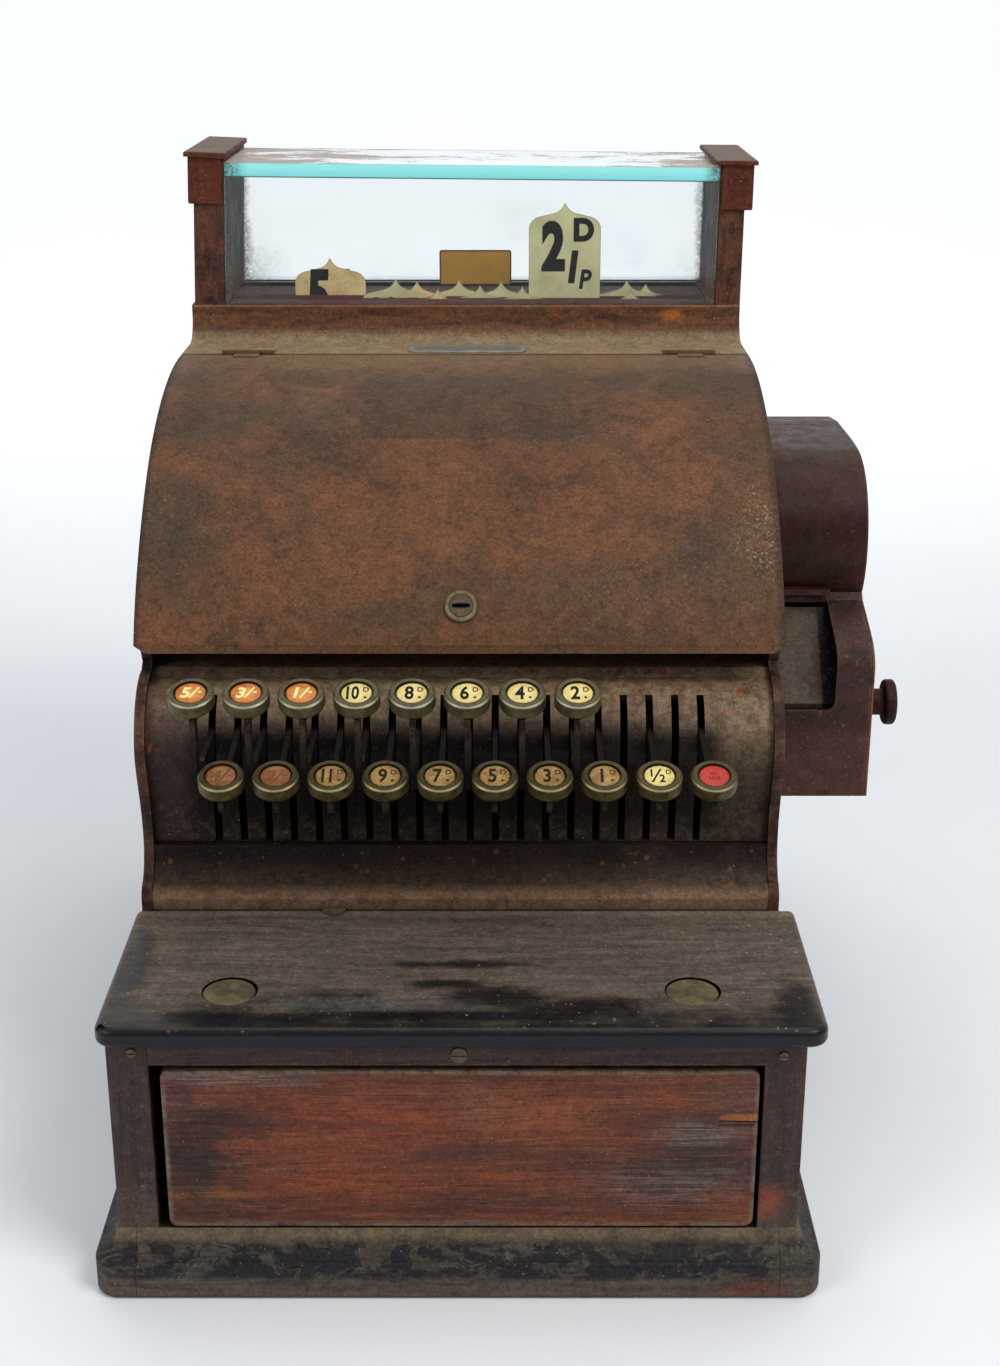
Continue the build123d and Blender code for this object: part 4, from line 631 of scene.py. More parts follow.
def mat_plinth():
    g = G("plinth_wood")
    x, y, z = g.xyz()
    nz = g.normal()[2]
    grain = g.noise(1, 5, 0.72, 0.5, co=g.stretch(22, 260, 260, co=g.warp(18, 0.006)))
    mid = g.noise(55, 5, 0.72, 0.3)
    fine = g.noise(600, 3, 0.75)
    c = g.ramp(grain, [(0.28, col(46, 41, 37)), (0.48, col(66, 60, 54)), (0.68, col(84, 76, 67)), (0.8, col(96, 84, 70))])
    c = g.mix(g.range(mid, 0.5, 0.72, 0, 0.5), c, col(92, 80, 66))
    c = g.mix(g.range(mid, 0.42, 0.26, 0, 0.5), c, col(50, 42, 38))
    # broken black paint along the upper curve
    n = g.noise(1, 6, 0.70, 0.8, co=g.stretch(52, 52, 90, co=g.warp(50, 0.012)))
    n = g.add(n, g.mul(g.math("SUBTRACT", g.noise(420, 4, 0.8), 0.5), 0.12))
    band = g.between(g.add(z, g.mul(g.math("SUBTRACT", mid, 0.5), 0.010)), 0.0120, 0.0265, 0.0024)
    patch = g.mul(band, g.range(n, 0.448, 0.490))
    c = g.mix(g.mul(patch, 0.92), c, g.ramp(fine, [(0.3, col(20, 20, 23)), (0.7, col(44, 43, 46))]))
    # dust along the top
    top = g.mul(g.range(z, 0.0245, 0.0300), g.range(g.noise(170, 4, 0.7), 0.25, 0.55, 0.4, 1))
    c = g.mix(g.mul(top, 0.75), c, g.mix(mid, col(92, 78, 60), col(130, 112, 86)))
    # rubbed lower edge
    low = g.mul(g.range(g.add(z, g.mul(g.math("SUBTRACT", mid, 0.5), 0.006)), 0.0065, 0.0015), 0.7)
    c = g.mix(low, c, g.mix(fine, col(84, 66, 52), col(112, 92, 74)))
    c = g.tone(c, g.range(z, 0.014, 0.010, 1.0, 1.32))
    red = g.mul(g.blob((0.140, -0.242, 0.006), (0.02, 0.01, 0.006), 0.9, 0.8, 120), 0.6)
    c = g.mix(red, c, col(112, 50, 38))
    c = g.tone(c, g.range(g.ao(0.012), 0.15, 0.85, 0.42, 1.0))
    c = grit(g, c, 0.42, 500)
    c = g.mix(g.mul(g.specks(560, 0.28, 0.10, seed=4.4), 0.5), c, col(150, 134, 110))
    c = g.mix(g.mul(g.specks(260, 0.12, 0.03, seed=2.4), 0.7), c, col(176, 150, 112))
    rough = g.math("SUBTRACT", g.range(mid, 0.3, 0.7, 0.55, 0.78), g.mul(patch, 0.22))
    return g.finish(c, rough, g.bump(g.add(g.mul(grain, 0.7), g.mul(fine, 0.6), g.mul(mid, 0.8)), 0.5, 0.0007), spec=0.14)


def mat_side_unit(name, cover):
    g = G(name)
    x, y, z = g.xyz()
    big = g.noise(26, 5, 0.62, 0.5)
    mid = g.noise(95, 5, 0.7)
    fine = g.noise(900, 3, 0.7)
    c = g.ramp(big, [(0.28, col(52, 36, 33)), (0.48, col(70, 48, 42)), (0.66, col(84, 58, 48)), (0.8, col(74, 60, 50))])
    c = g.mix(g.range(mid, 0.50, 0.70, 0, 0.5), c, col(58, 42, 38))
    c = g.mix(g.mul(g.range(g.noise(170, 4, 0.75), 0.60, 0.70), 0.6), c, col(112, 64, 44))
    if cover:
        top = g.range(z, 0.325, 0.3475)
        c = g.mix(g.mul(top, g.range(mid, 0.25, 0.6, 0.4, 0.9), 0.6), c, col(102, 84, 70))
        crease = g.range(z, 0.293, 0.281)
        c = g.mix(g.mul(crease, 0.8), c, g.mix(mid, col(78, 56, 50), col(108, 78, 70)))
    else:
        win = g.range(g.normal()[2], 0.35, 0.7)
        c = g.mix(g.mul(win, 0.7), c, col(64, 46, 40))
        low = g.range(z, 0.245, 0.19)
        c = g.mix(g.mul(low, g.range(mid, 0.35, 0.65), 0.5), c, col(92, 54, 46))
        # the frame round the window is darker
        c = g.mix(g.mul(g.range(z, 0.214, 0.224), g.range(y, -0.058, -0.060), 0.5), c, col(38, 26, 24))
        # writing table: dark olive, with painted shadow at its right and along its bottom
        diag = g.math("SUBTRACT", z, g.mul(y, 1.031))
        inside = g.between(x, 0.1621, 0.2099, 0.00005)
        slope = g.mul(inside, g.between(y, -0.0590, -0.0178, 0.00005), g.between(diag, 0.2879, 0.2917, 0.00005))
        lipz = g.mul(inside, g.between(y, -0.0590, -0.0560, 0.00005), g.between(z, 0.2215, 0.2312, 0.00005))
        table = g.most(slope, lipz)
        olive = g.ramp(g.noise(120, 5, 0.75), [(0.3, col(62, 53, 41)), (0.5, col(80, 69, 53)), (0.72, col(98, 84, 64))])
        olive = g.mix(g.range(x, 0.1868, 0.1884), olive, col(12, 9, 9))
        olive = g.mix(g.range(z, 0.2300, 0.2270), olive, col(20, 15, 14))
        c = g.mix(table, c, olive)
    c = g.mix(g.mul(g.edge(0.0014), g.range(mid, 0.35, 0.6), 0.7), c, col(124, 88, 68))
    c = g.mix(g.mul(g.range(x, 0.2108, 0.2116), g.range(g.normal()[1], -0.3, -0.6), g.range(mid, 0.3, 0.5), 0.6), c, col(158, 100, 66))
    c = g.mix(g.mul(g.range(g.noise(260, 4, 0.8, co=g.stretch(1, 1, 1, (4, 2, 8))), 0.60, 0.68), 0.55), c, col(150, 92, 60))
    c = grit(g, c, 0.44, 620)
    c = g.tone(c, g.range(g.ao(0.012), 0.15, 0.85, 0.45, 1.0))
    a, b2 = fine_dust(g, 6.0)
    c = g.mix(g.mul(a, 0.28), c, col(148, 120, 94))
    c = g.mix(g.mul(b2, 0.7), c, col(190, 166, 130))
    return g.finish(c, g.range(mid, 0.3, 0.7, 0.36, 0.6), g.bump(g.add(mid, g.mul(fine, 0.4)), 0.3, 0.0005), spec=0.16)


def mat_key(name, top, first, brassy):
    """Lever and nickel cap in one node. u, v and d are measured in the cap's own tilted frame, whose centre
    repeats every 25.4 mm along the row."""
    g = G(name)
    x, y, z = g.xyz()
    t = math.radians(20)
    cy, cz = top[0] + math.sin(t) * 0.0073, top[1] - math.cos(t) * 0.0073
    dy, dz = g.math("SUBTRACT", y, cy), g.math("SUBTRACT", z, cz)
    d = g.add(g.mul(dy, -math.sin(t)), g.mul(dz, math.cos(t)))
    v = g.add(g.mul(dy, math.cos(t)), g.mul(dz, math.sin(t)))
    u = g.math("SUBTRACT", g.math("FLOORED_MODULO", g.math("SUBTRACT", x, first - 0.0127), 0.0254), 0.0127)
    r = g.math("SQRT", g.add(g.mul(u, u), g.mul(v, v)))
    cap = g.mul(g.range(d, -0.0005, -0.0002, smooth=False), g.range(r, 0.0118, 0.0116))
    mid = g.noise(170, 5, 0.7)
    fine = g.noise(900, 4, 0.8)
    if brassy:
        wall = g.ramp(mid, [(0.3, col(56, 48, 27)), (0.5, col(84, 74, 44)), (0.7, col(112, 100, 64))])
        face = g.ramp(mid, [(0.3, col(60, 52, 32)), (0.55, col(92, 84, 56)), (0.75, col(72, 63, 41))])
        lip = col(188, 182, 138)
    else:
        wall = g.ramp(mid, [(0.3, col(68, 61, 42)), (0.5, col(96, 88, 62)), (0.7, col(122, 114, 84))])
        face = g.ramp(mid, [(0.3, col(74, 68, 50)), (0.55, col(108, 102, 80)), (0.75, col(84, 77, 56))])
        lip = col(206, 208, 188)
    # streaks down the wall
    streak = g.noise(1, 3, 0.7, co=g.stretch(520, 150, 90))
    wall = g.mix(g.range(streak, 0.52, 0.72, 0, 0.6), wall, col(64, 56, 36))
    top_face = g.mul(g.range(d, 0.0060, 0.0068), g.range(r, 0.0104, 0.0101))
    cc = g.mix(top_face, wall, face)
    cc = g.mix(g.mul(g.range(g.noise(300, 4, 0.78), 0.56, 0.68), 0.7), cc, col(66, 56, 36))
    # bright lip at the front, painted highlight over rubbed metal, dull one at the rear
    edge = g.mul(g.between(r, 0.0101, 0.0120, 0.0003), g.range(d, 0.0060, 0.0068))
    front = g.range(v, -0.001, -0.0080, 0.06, 1.0)
    cc = g.mix(g.mul(edge, front, g.range(fine, 0.25, 0.45, 0.7, 1.0)), cc, lip)
    # darker ring where the label meets the rim
    seam = g.mul(g.between(r, 0.0070, 0.0080, 0.0003), g.range(d, 0.0058, 0.0062))
    cc = g.mix(g.mul(seam, 0.85), cc, col(40, 32, 20))
    low = g.range(d, 0.0016, 0.0, 0, 0.7)
    cc = g.mix(low, cc, col(58, 50, 32))
    # levers near black: dark steel, darkened further as painted shade where they run under the caps; the stem next to
    # the cap keeps a brown tone
    lev = g.ramp(mid, [(0.3, col(12, 10, 10)), (0.5, col(19, 15, 14)), (0.7, col(32, 24, 21))])
    near = g.range(r, 0.012, 0.006)
    lev = g.mix(g.mul(g.range(mid, 0.42, 0.6), near, 0.8), lev, col(86, 64, 46))
    lev = g.mix(g.mul(g.range(g.noise(150, 4, 0.75), 0.60, 0.70), 0.45), lev, col(70, 42, 30))
    c = g.mix(cap, lev, cc)
    c = grit(g, c, 0.14, 1000)
    c = g.tone(c, g.range(g.ao(0.006), 0.1, 0.85, 0.35, 1.0))
    metal = g.mul(cap, g.range(g.noise(260, 4, 0.75), 0.60, 0.70, 0.52, 0.2))
    rough = g.math("ADD", g.range(mid, 0.3, 0.7, 0.36, 0.54), g.mul(g.inv(cap), 0.2))
    return g.finish(c, rough, g.bump(g.add(mid, g.mul(fine, 0.6)), 0.22, 0.0004), metal=metal, spec=0.2)


def mat_flag(name, old=False):
    g = G(name)
    x, y, z = g.xyz()
    mid = g.noise(70, 5, 0.68)
    fine = g.noise(420, 4, 0.7)
    if old:
        c = g.ramp(mid, [(0.3, col(232, 208, 150)), (0.5, col(222, 196, 138)), (0.7, col(196, 162, 106))])
        c = g.mix(g.mul(g.range(fine, 0.56, 0.70), 0.55), c, col(106, 84, 56))
    else:
        c = g.ramp(mid, [(0.3, col(232, 228, 178)), (0.5, col(222, 218, 166)), (0.7, col(204, 198, 146))])
        c = g.mix(g.mul(g.range(fine, 0.60, 0.74), 0.35), c, col(124, 116, 78))
    e = g.edge(0.0009, 6)
    c = g.mix(g.mul(e, 0.9), c, col(78, 70, 48))
    rod = g.range(z, 0.345, 0.344)
    c = g.mix(rod, c, g.mix(mid, col(66, 58, 50), col(110, 100, 86)))
    # painted light: the flags glow by emission, standing in for the light that reaches them in the window; the old
    # flags glow more
    g.put(g.b.inputs["Emission Color"], c)
    g.b.inputs["Emission Strength"].default_value = 0.26 if old else 0.13
    return g.finish(c, 0.5, g.bump(g.add(mid, fine), 0.15, 0.0003), spec=0.16)


def mat_maroon():
    g = G("window_floor")
    x, y, z = g.xyz()
    nz = g.normal()[2]
    fluff = g.noise(180, 6, 0.8, 0.5)
    c = g.ramp(g.noise(60, 4, 0.7), [(0.35, col(88, 24, 28)), (0.65, col(116, 38, 38))])
    grey = g.ramp(fluff, [(0.3, col(52, 44, 46)), (0.55, col(92, 82, 80)), (0.75, col(132, 120, 114))])
    back = g.range(g.add(y, g.mul(g.math("SUBTRACT", fluff, 0.5), 0.04)), 0.165, 0.205)
    ends = g.range(g.add(g.math("ABSOLUTE", x), g.mul(g.math("SUBTRACT", fluff, 0.5), 0.05)), 0.085, 0.12)
    c = g.mix(g.mul(g.most(back, ends), g.range(nz, 0.5, 0.9), 0.85), c, grey)
    steel = g.range(z, 0.38, 0.375)
    c = g.mix(steel, c, g.mix(fluff, col(70, 62, 56), col(112, 102, 92)))
    return g.finish(c, 0.75, g.bump(fluff, 0.6, 0.0012), spec=0.12)


def mat_steel(name, rusty=0.5):
    g = G(name)
    mid = g.noise(90, 5, 0.7)
    fine = g.noise(700, 3, 0.7)
    c = g.ramp(mid, [(0.3, col(70, 66, 62)), (0.55, col(104, 98, 90)), (0.75, col(84, 74, 64))])
    r = g.range(g.noise(120, 4, 0.72), 0.62 - rusty * 0.25, 0.72 - rusty * 0.1)
    c = g.mix(g.mul(r, 0.85), c, g.mix(fine, col(78, 44, 32), col(122, 74, 48)))
    c = g.tone(c, g.range(g.ao(0.006), 0.1, 0.85, 0.5, 1.0))
    metal = g.range(r, 0, 1, 0.75, 0.1)
    return g.finish(c, g.range(mid, 0.3, 0.7, 0.36, 0.6), g.bump(g.add(mid, fine), 0.25, 0.0004), metal=metal)


def mat_knob():
    g = G("knob_metal")
    mid = g.noise(240, 5, 0.7)
    c = g.ramp(mid, [(0.3, col(46, 30, 26)), (0.5, col(76, 48, 38)), (0.7, col(104, 68, 50))])
    c = g.mix(g.mul(g.edge(0.0009), 0.7), c, col(136, 96, 72))
    c = g.tone(c, g.range(g.ao(0.004), 0.1, 0.85, 0.35, 1.0))
    return g.finish(c, 0.52, g.bump(mid, 0.35, 0.0004), spec=0.10)


def mat_brass_lock():
    g = G("lock_brass")
    x, y, z = g.xyz()
    mid = g.noise(420, 4, 0.7)
    v = g.node("ShaderNodeVectorMath", operation="DISTANCE")
    g.put(v.inputs[0], g.co)
    v.inputs[1].default_value = (0.0007, -0.091, 0.2946)
    r = v.outputs["Value"]
    face = g.ramp(mid, [(0.3, col(62, 46, 34)), (0.55, col(92, 66, 46)), (0.75, col(112, 84, 58))])
    ring = g.ramp(mid, [(0.3, col(106, 96, 66)), (0.6, col(146, 134, 96)), (0.8, col(176, 164, 122))])
    c = g.mix(g.range(r, 0.0060, 0.0066), face, ring)
    c = g.mix(g.between(r, 0.0058, 0.0064, 0.0002), c, col(40, 32, 24))
    # slot across the face, wider at its middle, painted near black as the shade inside it
    up = g.add(g.mul(g.math("ADD", y, 0.091), 0.5995), g.mul(g.math("SUBTRACT", z, 0.2946), 0.8004))
    sx = g.math("ABSOLUTE", g.math("SUBTRACT", x, 0.0007))
    half = g.range(sx, 0.0, 0.0048, 0.00165, 0.00085)
    slot = g.mul(g.math("LESS_THAN", g.math("ABSOLUTE", up), half), g.math("LESS_THAN", sx, 0.0047))
    c = g.mix(slot, c, col(14, 11, 9))
    c = g.tone(c, g.range(g.ao(0.003), 0.1, 0.8, 0.25, 1.0))
    return g.finish(c, g.range(r, 0.0055, 0.007, 0.6, 0.34), g.bump(mid, 0.2, 0.0003), metal=g.range(r, 0.0060, 0.0066, 0.2, 0.85))


def mat_fittings():
    """Discs, screws, deck plate and card, told apart by where they are."""
    g = G("fittings")
    x, y, z = g.xyz()
    mid = g.noise(120, 5, 0.7)
    fine = g.noise(600, 3, 0.75)
    disc = g.ramp(mid, [(0.3, col(76, 66, 50)), (0.5, col(98, 86, 64)), (0.7, col(116, 100, 74))])
    disc = g.mix(g.mul(g.range(g.noise(60, 3, 0.6, co=g.stretch(1, 1, 1, (2, 3, 0))), 0.56, 0.66), 0.5), disc, col(52, 50, 46))
    plate = g.ramp(g.noise(1, 4, 0.75, 0.3, co=g.stretch(90, 400, 400)), [(0.3, col(88, 92, 90)), (0.5, col(120, 122, 116)), (0.72, col(150, 150, 140))])
    px = g.math("ABSOLUTE", g.math("SUBTRACT", x, 0.0012))
    inside = g.mul(g.range(px, 0.0305, 0.0295), g.between(y, 0.1000, 0.1130, 0.0006))
    plate = g.mix(g.mul(inside, g.range(g.noise(500, 3, 0.8), 0.35, 0.6, 0.45, 0.85)), plate, col(88, 90, 86))
    plate = g.mix(g.mul(g.range(mid, 0.55, 0.7), 0.8), plate, col(128, 110, 84))
    card = g.ramp(mid, [(0.3, col(178, 132, 50)), (0.5, col(194, 145, 57)), (0.7, col(198, 138, 53))])
    card = g.mix(g.mul(g.range(g.noise(1, 3, 0.6, co=g.stretch(60, 60, 700)), 0.62, 0.72), 0.14), card, col(90, 70, 40))
    cx = g.math("ABSOLUTE", g.math("SUBTRACT", x, 0.0046))
    cz = g.math("ABSOLUTE", g.math("SUBTRACT", z, 0.413))
    frame_ = g.most(g.range(cx, 0.0211, 0.0217), g.range(cz, 0.0096, 0.0101))
    card = g.mix(g.mul(frame_, 0.92), card, col(58, 56, 46))
    screw = g.ramp(fine, [(0.3, col(62, 52, 42)), (0.6, col(96, 80, 60)), (0.8, col(120, 100, 76))])
    c = g.mix(g.range(z, 0.139, 0.140), screw, disc)
    c = g.mix(g.range(z, 0.37, 0.38), c, plate)
    c = g.mix(g.range(z, 0.395, 0.400), c, card)
    c = g.tone(c, g.range(g.ao(0.003), 0.1, 0.8, 0.35, 1.0))
    metal = g.mul(g.range(z, 0.395, 0.400, 0.6, 0.0), 0.6)
    return g.finish(c, g.range(mid, 0.3, 0.7, 0.5, 0.72), g.bump(g.add(mid, g.mul(fine, 0.5)), 0.25, 0.0004), metal=metal)


def mat_drawer_box():
    g = G("drawer_pine")
    grain = g.noise(1, 5, 0.7, 0.6, co=g.stretch(240, 14, 200, co=g.warp(12, 0.01)))
    mid = g.noise(40, 4, 0.7)
    c = g.ramp(grain, [(0.3, col(112, 84, 56)), (0.55, col(150, 116, 78)), (0.75, col(170, 136, 94))])
    c = g.mix(g.range(mid, 0.48, 0.7, 0, 0.6), c, col(96, 74, 54))
    c = g.tone(c, g.range(g.ao(0.02), 0.1, 0.9, 0.45, 1.0))
    return g.finish(c, 0.66, g.bump(grain, 0.3, 0.0004), spec=0.15)


def mat_paper():
    g = G("spool_paper")
    x, y, z = g.xyz()
    wood = g.ramp(g.noise(1, 4, 0.7, co=g.stretch(400, 60, 400)), [(0.3, col(104, 78, 52)), (0.7, col(142, 110, 74))])
    layers = g.noise(1, 2, 0.6, co=g.stretch(30, 1500, 1500))
    paper = g.ramp(layers, [(0.3, col(196, 184, 156)), (0.7, col(218, 208, 182))])
    c = g.mix(g.mul(g.range(x, 0.1656, 0.1657), g.range(x, 0.2064, 0.2063)), wood, paper)
    return g.finish(c, 0.8, g.bump(layers, 0.2, 0.0003), spec=0.12)


def mat_glass():
    """Clear pane with dirt along its margins; the thick plate's front edge glows green-blue."""
    g = G("window_glass")
    x, y, z = g.xyz()
    n = g.normal()
    m = g.noise(420, 5, 0.82)
    broad = g.noise(26, 5, 0.72, 0.4, co=g.stretch(1, 2.2, 1))
    nt = g.nt
    clear = g.node("ShaderNodeBsdfTransparent")
    clear.inputs[0].default_value = (0.968, 0.976, 0.974, 1)
    gloss = g.node("ShaderNodeBsdfGlossy")
    gloss.inputs["Roughness"].default_value = 0.04
    gloss.inputs["Color"].default_value = (0.9, 0.95, 0.95, 1)
    fres = g.node("ShaderNodeFresnel")
    fres.inputs["IOR"].default_value = 1.45
    base = g.node("ShaderNodeMixShader")
    g.put(base.inputs[0], g.mul(fres.outputs[0], 0.55))
    g.put(base.inputs[1], clear.outputs[0])
    g.put(base.inputs[2], gloss.outputs[0])
    # margins of the upright panes
    ax = g.math("ABSOLUTE", g.math("SUBTRACT", x, 0.003))
    zp = g.math("ADD", z, g.mul(x, 0.00995))
    edge_x = g.range(g.add(ax, g.mul(g.math("SUBTRACT", broad, 0.5), 0.012)), 0.136, 0.1424)
    left = g.range(x, 0.0, -0.05, 0.35, 1.0)
    corner = g.mul(g.range(z, 0.436, 0.404), g.range(g.add(ax, g.mul(g.math("SUBTRACT", broad, 0.5), 0.05)), 0.108, 0.142), left)
    low = g.range(g.add(z, g.mul(g.math("SUBTRACT", m, 0.5), 0.008)), 0.4090, 0.404)
    dirt_v = g.math("MINIMUM", g.add(g.mul(edge_x, 0.60), g.mul(corner, 0.28), g.mul(low, 0.35)), 0.85)
    dirt_v = g.mul(dirt_v, g.range(m, 0.28, 0.66))
    dirt_v = g.most(dirt_v, g.mul(g.specks(320, 0.09, 0.05, seed=1.2), 0.5))
    dirt_v = g.most(dirt_v, g.mul(g.range(broad, 0.48, 0.78), g.range(z, 0.475, 0.43), 0.07))
    # dust on the top plate
    top = g.mul(g.range(zp, 0.4826, 0.4830), g.range(n[2], 0.7, 0.9))
    sweep = g.range(g.add(broad, g.mul(g.range(g.math("ABSOLUTE", g.math("SUBTRACT", x, 0.02)), 0.03, 0.14), 0.16)), 0.52, 0.66)
    dirt_t = g.mul(top, sweep, g.range(m, 0.15, 0.55, 0.5, 0.95))
    upright = g.inv(g.range(zp, 0.4750, 0.4754))
    dirt = g.add(g.mul(dirt_v, upright), dirt_t)
    d = g.node("ShaderNodeBsdfDiffuse")
    g.put(d.inputs[0], g.mix(top, g.mix(m, col(84, 80, 74), col(128, 122, 112)), g.mix(m, col(132, 118, 104), col(188, 178, 168))))
    dirty = g.node("ShaderNodeMixShader")
    g.put(dirty.inputs[0], dirt)
    g.put(dirty.inputs[1], base.outputs[0])
    g.put(dirty.inputs[2], d.outputs[0])
    # ground front edge of the plate, with a painted glow (emission) for the light carried through the glass
    front = g.mul(g.range(zp, 0.4750, 0.4754), g.range(y, 0.1425, 0.1420), g.range(n[1], -0.3, -0.6))
    rise = g.range(zp, 0.4754, 0.4830)
    scr = g.noise(1, 4, 0.7, co=g.stretch(40, 10, 900))
    teal = g.mix(rise, col(126, 214, 214), col(150, 232, 232))
    teal = g.mix(g.range(scr, 0.58, 0.76, 0, 0.4), teal, col(92, 176, 176))
    ends = g.range(g.math("ABSOLUTE", g.math("SUBTRACT", x, 0.0055)), 0.1285, 0.1400)
    teal = g.mix(g.mul(ends, g.range(m, 0.3, 0.6), 0.9), teal, col(48, 66, 62))
    lines = g.most(g.range(zp, 0.4763, 0.4756), g.mul(g.range(zp, 0.4825, 0.4831), 0.6))
    teal = g.mix(g.mul(lines, 0.85), teal, col(52, 74, 70))
    ed = g.node("ShaderNodeBsdfPrincipled")
    g.put(ed.inputs["Base Color"], teal)
    ed.inputs["Roughness"].default_value = 0.25
    g.put(ed.inputs["Emission Color"], teal)
    ed.inputs["Emission Strength"].default_value = 0.16
    out = g.node("ShaderNodeMixShader")
    g.put(out.inputs[0], front)
    g.put(out.inputs[1], dirty.outputs[0])
    g.put(out.inputs[2], ed.outputs[0])
    nt.nodes.remove(g.b)
    nt.links.new(out.outputs[0], g.out.inputs[0])
    return g.m


wear("lid", mat_lid())
wear("indicator_rail", mat_rail())
wear("keyboard_panel", mat_dark_metal("panel_lacquer", "panel"))
wear("toe_cove", mat_dark_metal("toe_lacquer", "toe"))
wear("side_plates", mat_dark_metal("plate_lacquer", "plates"))
wear("back_panel", mat_dark_metal("back_lacquer", "back"))
wear("end_posts", mat_wood_post())
wear("drawer_case", mat_case())
wear("shelf_board", mat_shelf())
wear("drawer_front", mat_drawer_front())
wear("plinth_mouldings", mat_plinth())
wear("side_unit_case", mat_side_unit("unit_lacquer", False))
wear("side_unit_cover", mat_side_unit("cover_lacquer", True))
wear("glass_panes", mat_glass())
wear("flag_guide", mat_maroon())
wear("small_fittings", mat_fittings())
wear("lid_lock", mat_brass_lock())
wear("drawer_box", mat_drawer_box())
wear("paper_spool", mat_paper())
wear("paper_knob", mat_knob())
steel = mat_steel("dark_steel", 0.6)
for n in ("lever_frame", "drawer_latch", "bell_hammer"):
    wear(n, steel)
wear("bell", mat_steel("bell_steel", 0.1))

# ------------------------------------------------------------------ keys: labels and numerals
T = math.radians(20)
UP_TOP, LOW_TOP = (-0.1675, 0.2784), (-0.1730, 0.2395)
FIRST, PITCH = -0.12215, 0.0127
KEYS = [(0, "5s"), (1, "4s"), (2, "3s"), (3, "2s"), (4, "1s"), (5, "11d"), (6, "10d"), (7, "9d"), (8, "8d"),
        (9, "7d"), (10, "6d"), (11, "5d"), (12, "4d"), (13, "3d"), (14, "2d"), (15, "1d"), (17, "halfd"),
        (19, "no_sale")]


key_up = mat_key("key_metal_upper", UP_TOP, FIRST, False)
key_low = mat_key("key_metal_lower", LOW_TOP, FIRST + PITCH, True)


def cap_matrix(x, top, up=0.0):
    """Local X to the right, Y up the sloping face, Z out of it, origin on the label floor."""
    ex = Vector((1, 0, 0))
    ez = Vector((0, -math.sin(T), math.cos(T)))
    ey = ez.cross(ex)
    o = Vector((x, top[0], top[1])) + ez * (up - 0.0009)
    m = Matrix((ex, ey, ez)).transposed().to_4x4()
    m.translation = o
    return m


def disc_mesh(name, matrix, r, thick, dome, seed, rings=7, seg=48):
    """A slightly domed paper disc with a rough cut edge, in the row frame, with its radius kept as an attribute."""
    rnd = random.Random(seed)
    wob = [1 + rnd.uniform(-0.010, 0.010) for _ in range(seg)]
    bm = bmesh.new()
    lay = []
    top = bm.verts.new((0, 0, thick + dome))
    for k in range(1, rings + 1):
        f = k / rings
        row = []
        for s in range(seg):
            a = 2 * math.pi * s / seg
            rr = r * f * (1 + (wob[s] - 1) * f)
            row.append(bm.verts.new((rr * math.cos(a), rr * math.sin(a), thick + dome * (1 - f * f))))
        lay.append(row)
    base = [bm.verts.new((v.co.x, v.co.y, 0.00001)) for v in lay[-1]]
    for s in range(seg):
        bm.faces.new((top, lay[0][s], lay[0][(s + 1) % seg]))
        for a, b in zip(lay, lay[1:] + [base]):
            bm.faces.new((a[s], b[s], b[(s + 1) % seg], a[(s + 1) % seg]))
    bm.faces.new(base)
    bmesh.ops.recalc_face_normals(bm, faces=bm.faces)
    me = bpy.data.meshes.new(name)
    bm.to_mesh(me)
    bm.free()
    for p in me.polygons:
        p.use_smooth = len(p.vertices) <= 4
    at = me.attributes.new("rim", "FLOAT", "POINT")
    for i, v in enumerate(me.vertices):
        at.data[i].value = math.hypot(v.co.x, v.co.y) / r
    me.transform(matrix)
    o = bpy.data.objects.new(name, me)
    scene.collection.objects.link(o)
    return o


def text_mesh(name, parts, matrix, depth=0.00006):
    """Generic figures as a thin raised mesh. parts: (text, x, y, height, width factor, slant, weight)."""
    bm = bmesh.new()
    for txt, x, y, h, wf, slant, weight in parts:
        cu = bpy.data.curves.new("t", "FONT")
        cu.body = txt
        cu.size = 1.0
        cu.offset = weight
        cu.shear = slant
        cu.resolution_u = 6
        cu.align_x = "CENTER"
        cu.extrude = 0.5
        ob = bpy.data.objects.new("t", cu)
        scene.collection.objects.link(ob)
        bpy.context.view_layer.update()
        me = bpy.data.meshes.new_from_object(ob.evaluated_get(bpy.context.evaluated_depsgraph_get()))
        bpy.data.objects.remove(ob)
        xs = [v.co.x for v in me.vertices]
        ys = [v.co.y for v in me.vertices]
        k = h / max(max(ys) - min(ys), 1e-6)
        cx, y0 = (max(xs) + min(xs)) / 2, min(ys)
        for v in me.vertices:
            v.co = ((v.co.x - cx) * k * wf + x, (v.co.y - y0) * k + y, (v.co.z + 0.5) * depth)
        b2 = bmesh.new()
        b2.from_mesh(me)
        bmesh.ops.remove_doubles(b2, verts=b2.verts, dist=h * 0.002)
        b2.to_mesh(me)
        b2.free()
        bm.from_mesh(me)
        bpy.data.meshes.remove(me)
    me = bpy.data.meshes.new(name)
    bm.to_mesh(me)
    bm.free()
    me.transform(matrix)
    o = bpy.data.objects.new(name, me)
    scene.collection.objects.link(o)
    return o


def attr(g, name):
    n = g.node("ShaderNodeAttribute", attribute_name=name)
    return n.outputs["Fac"]


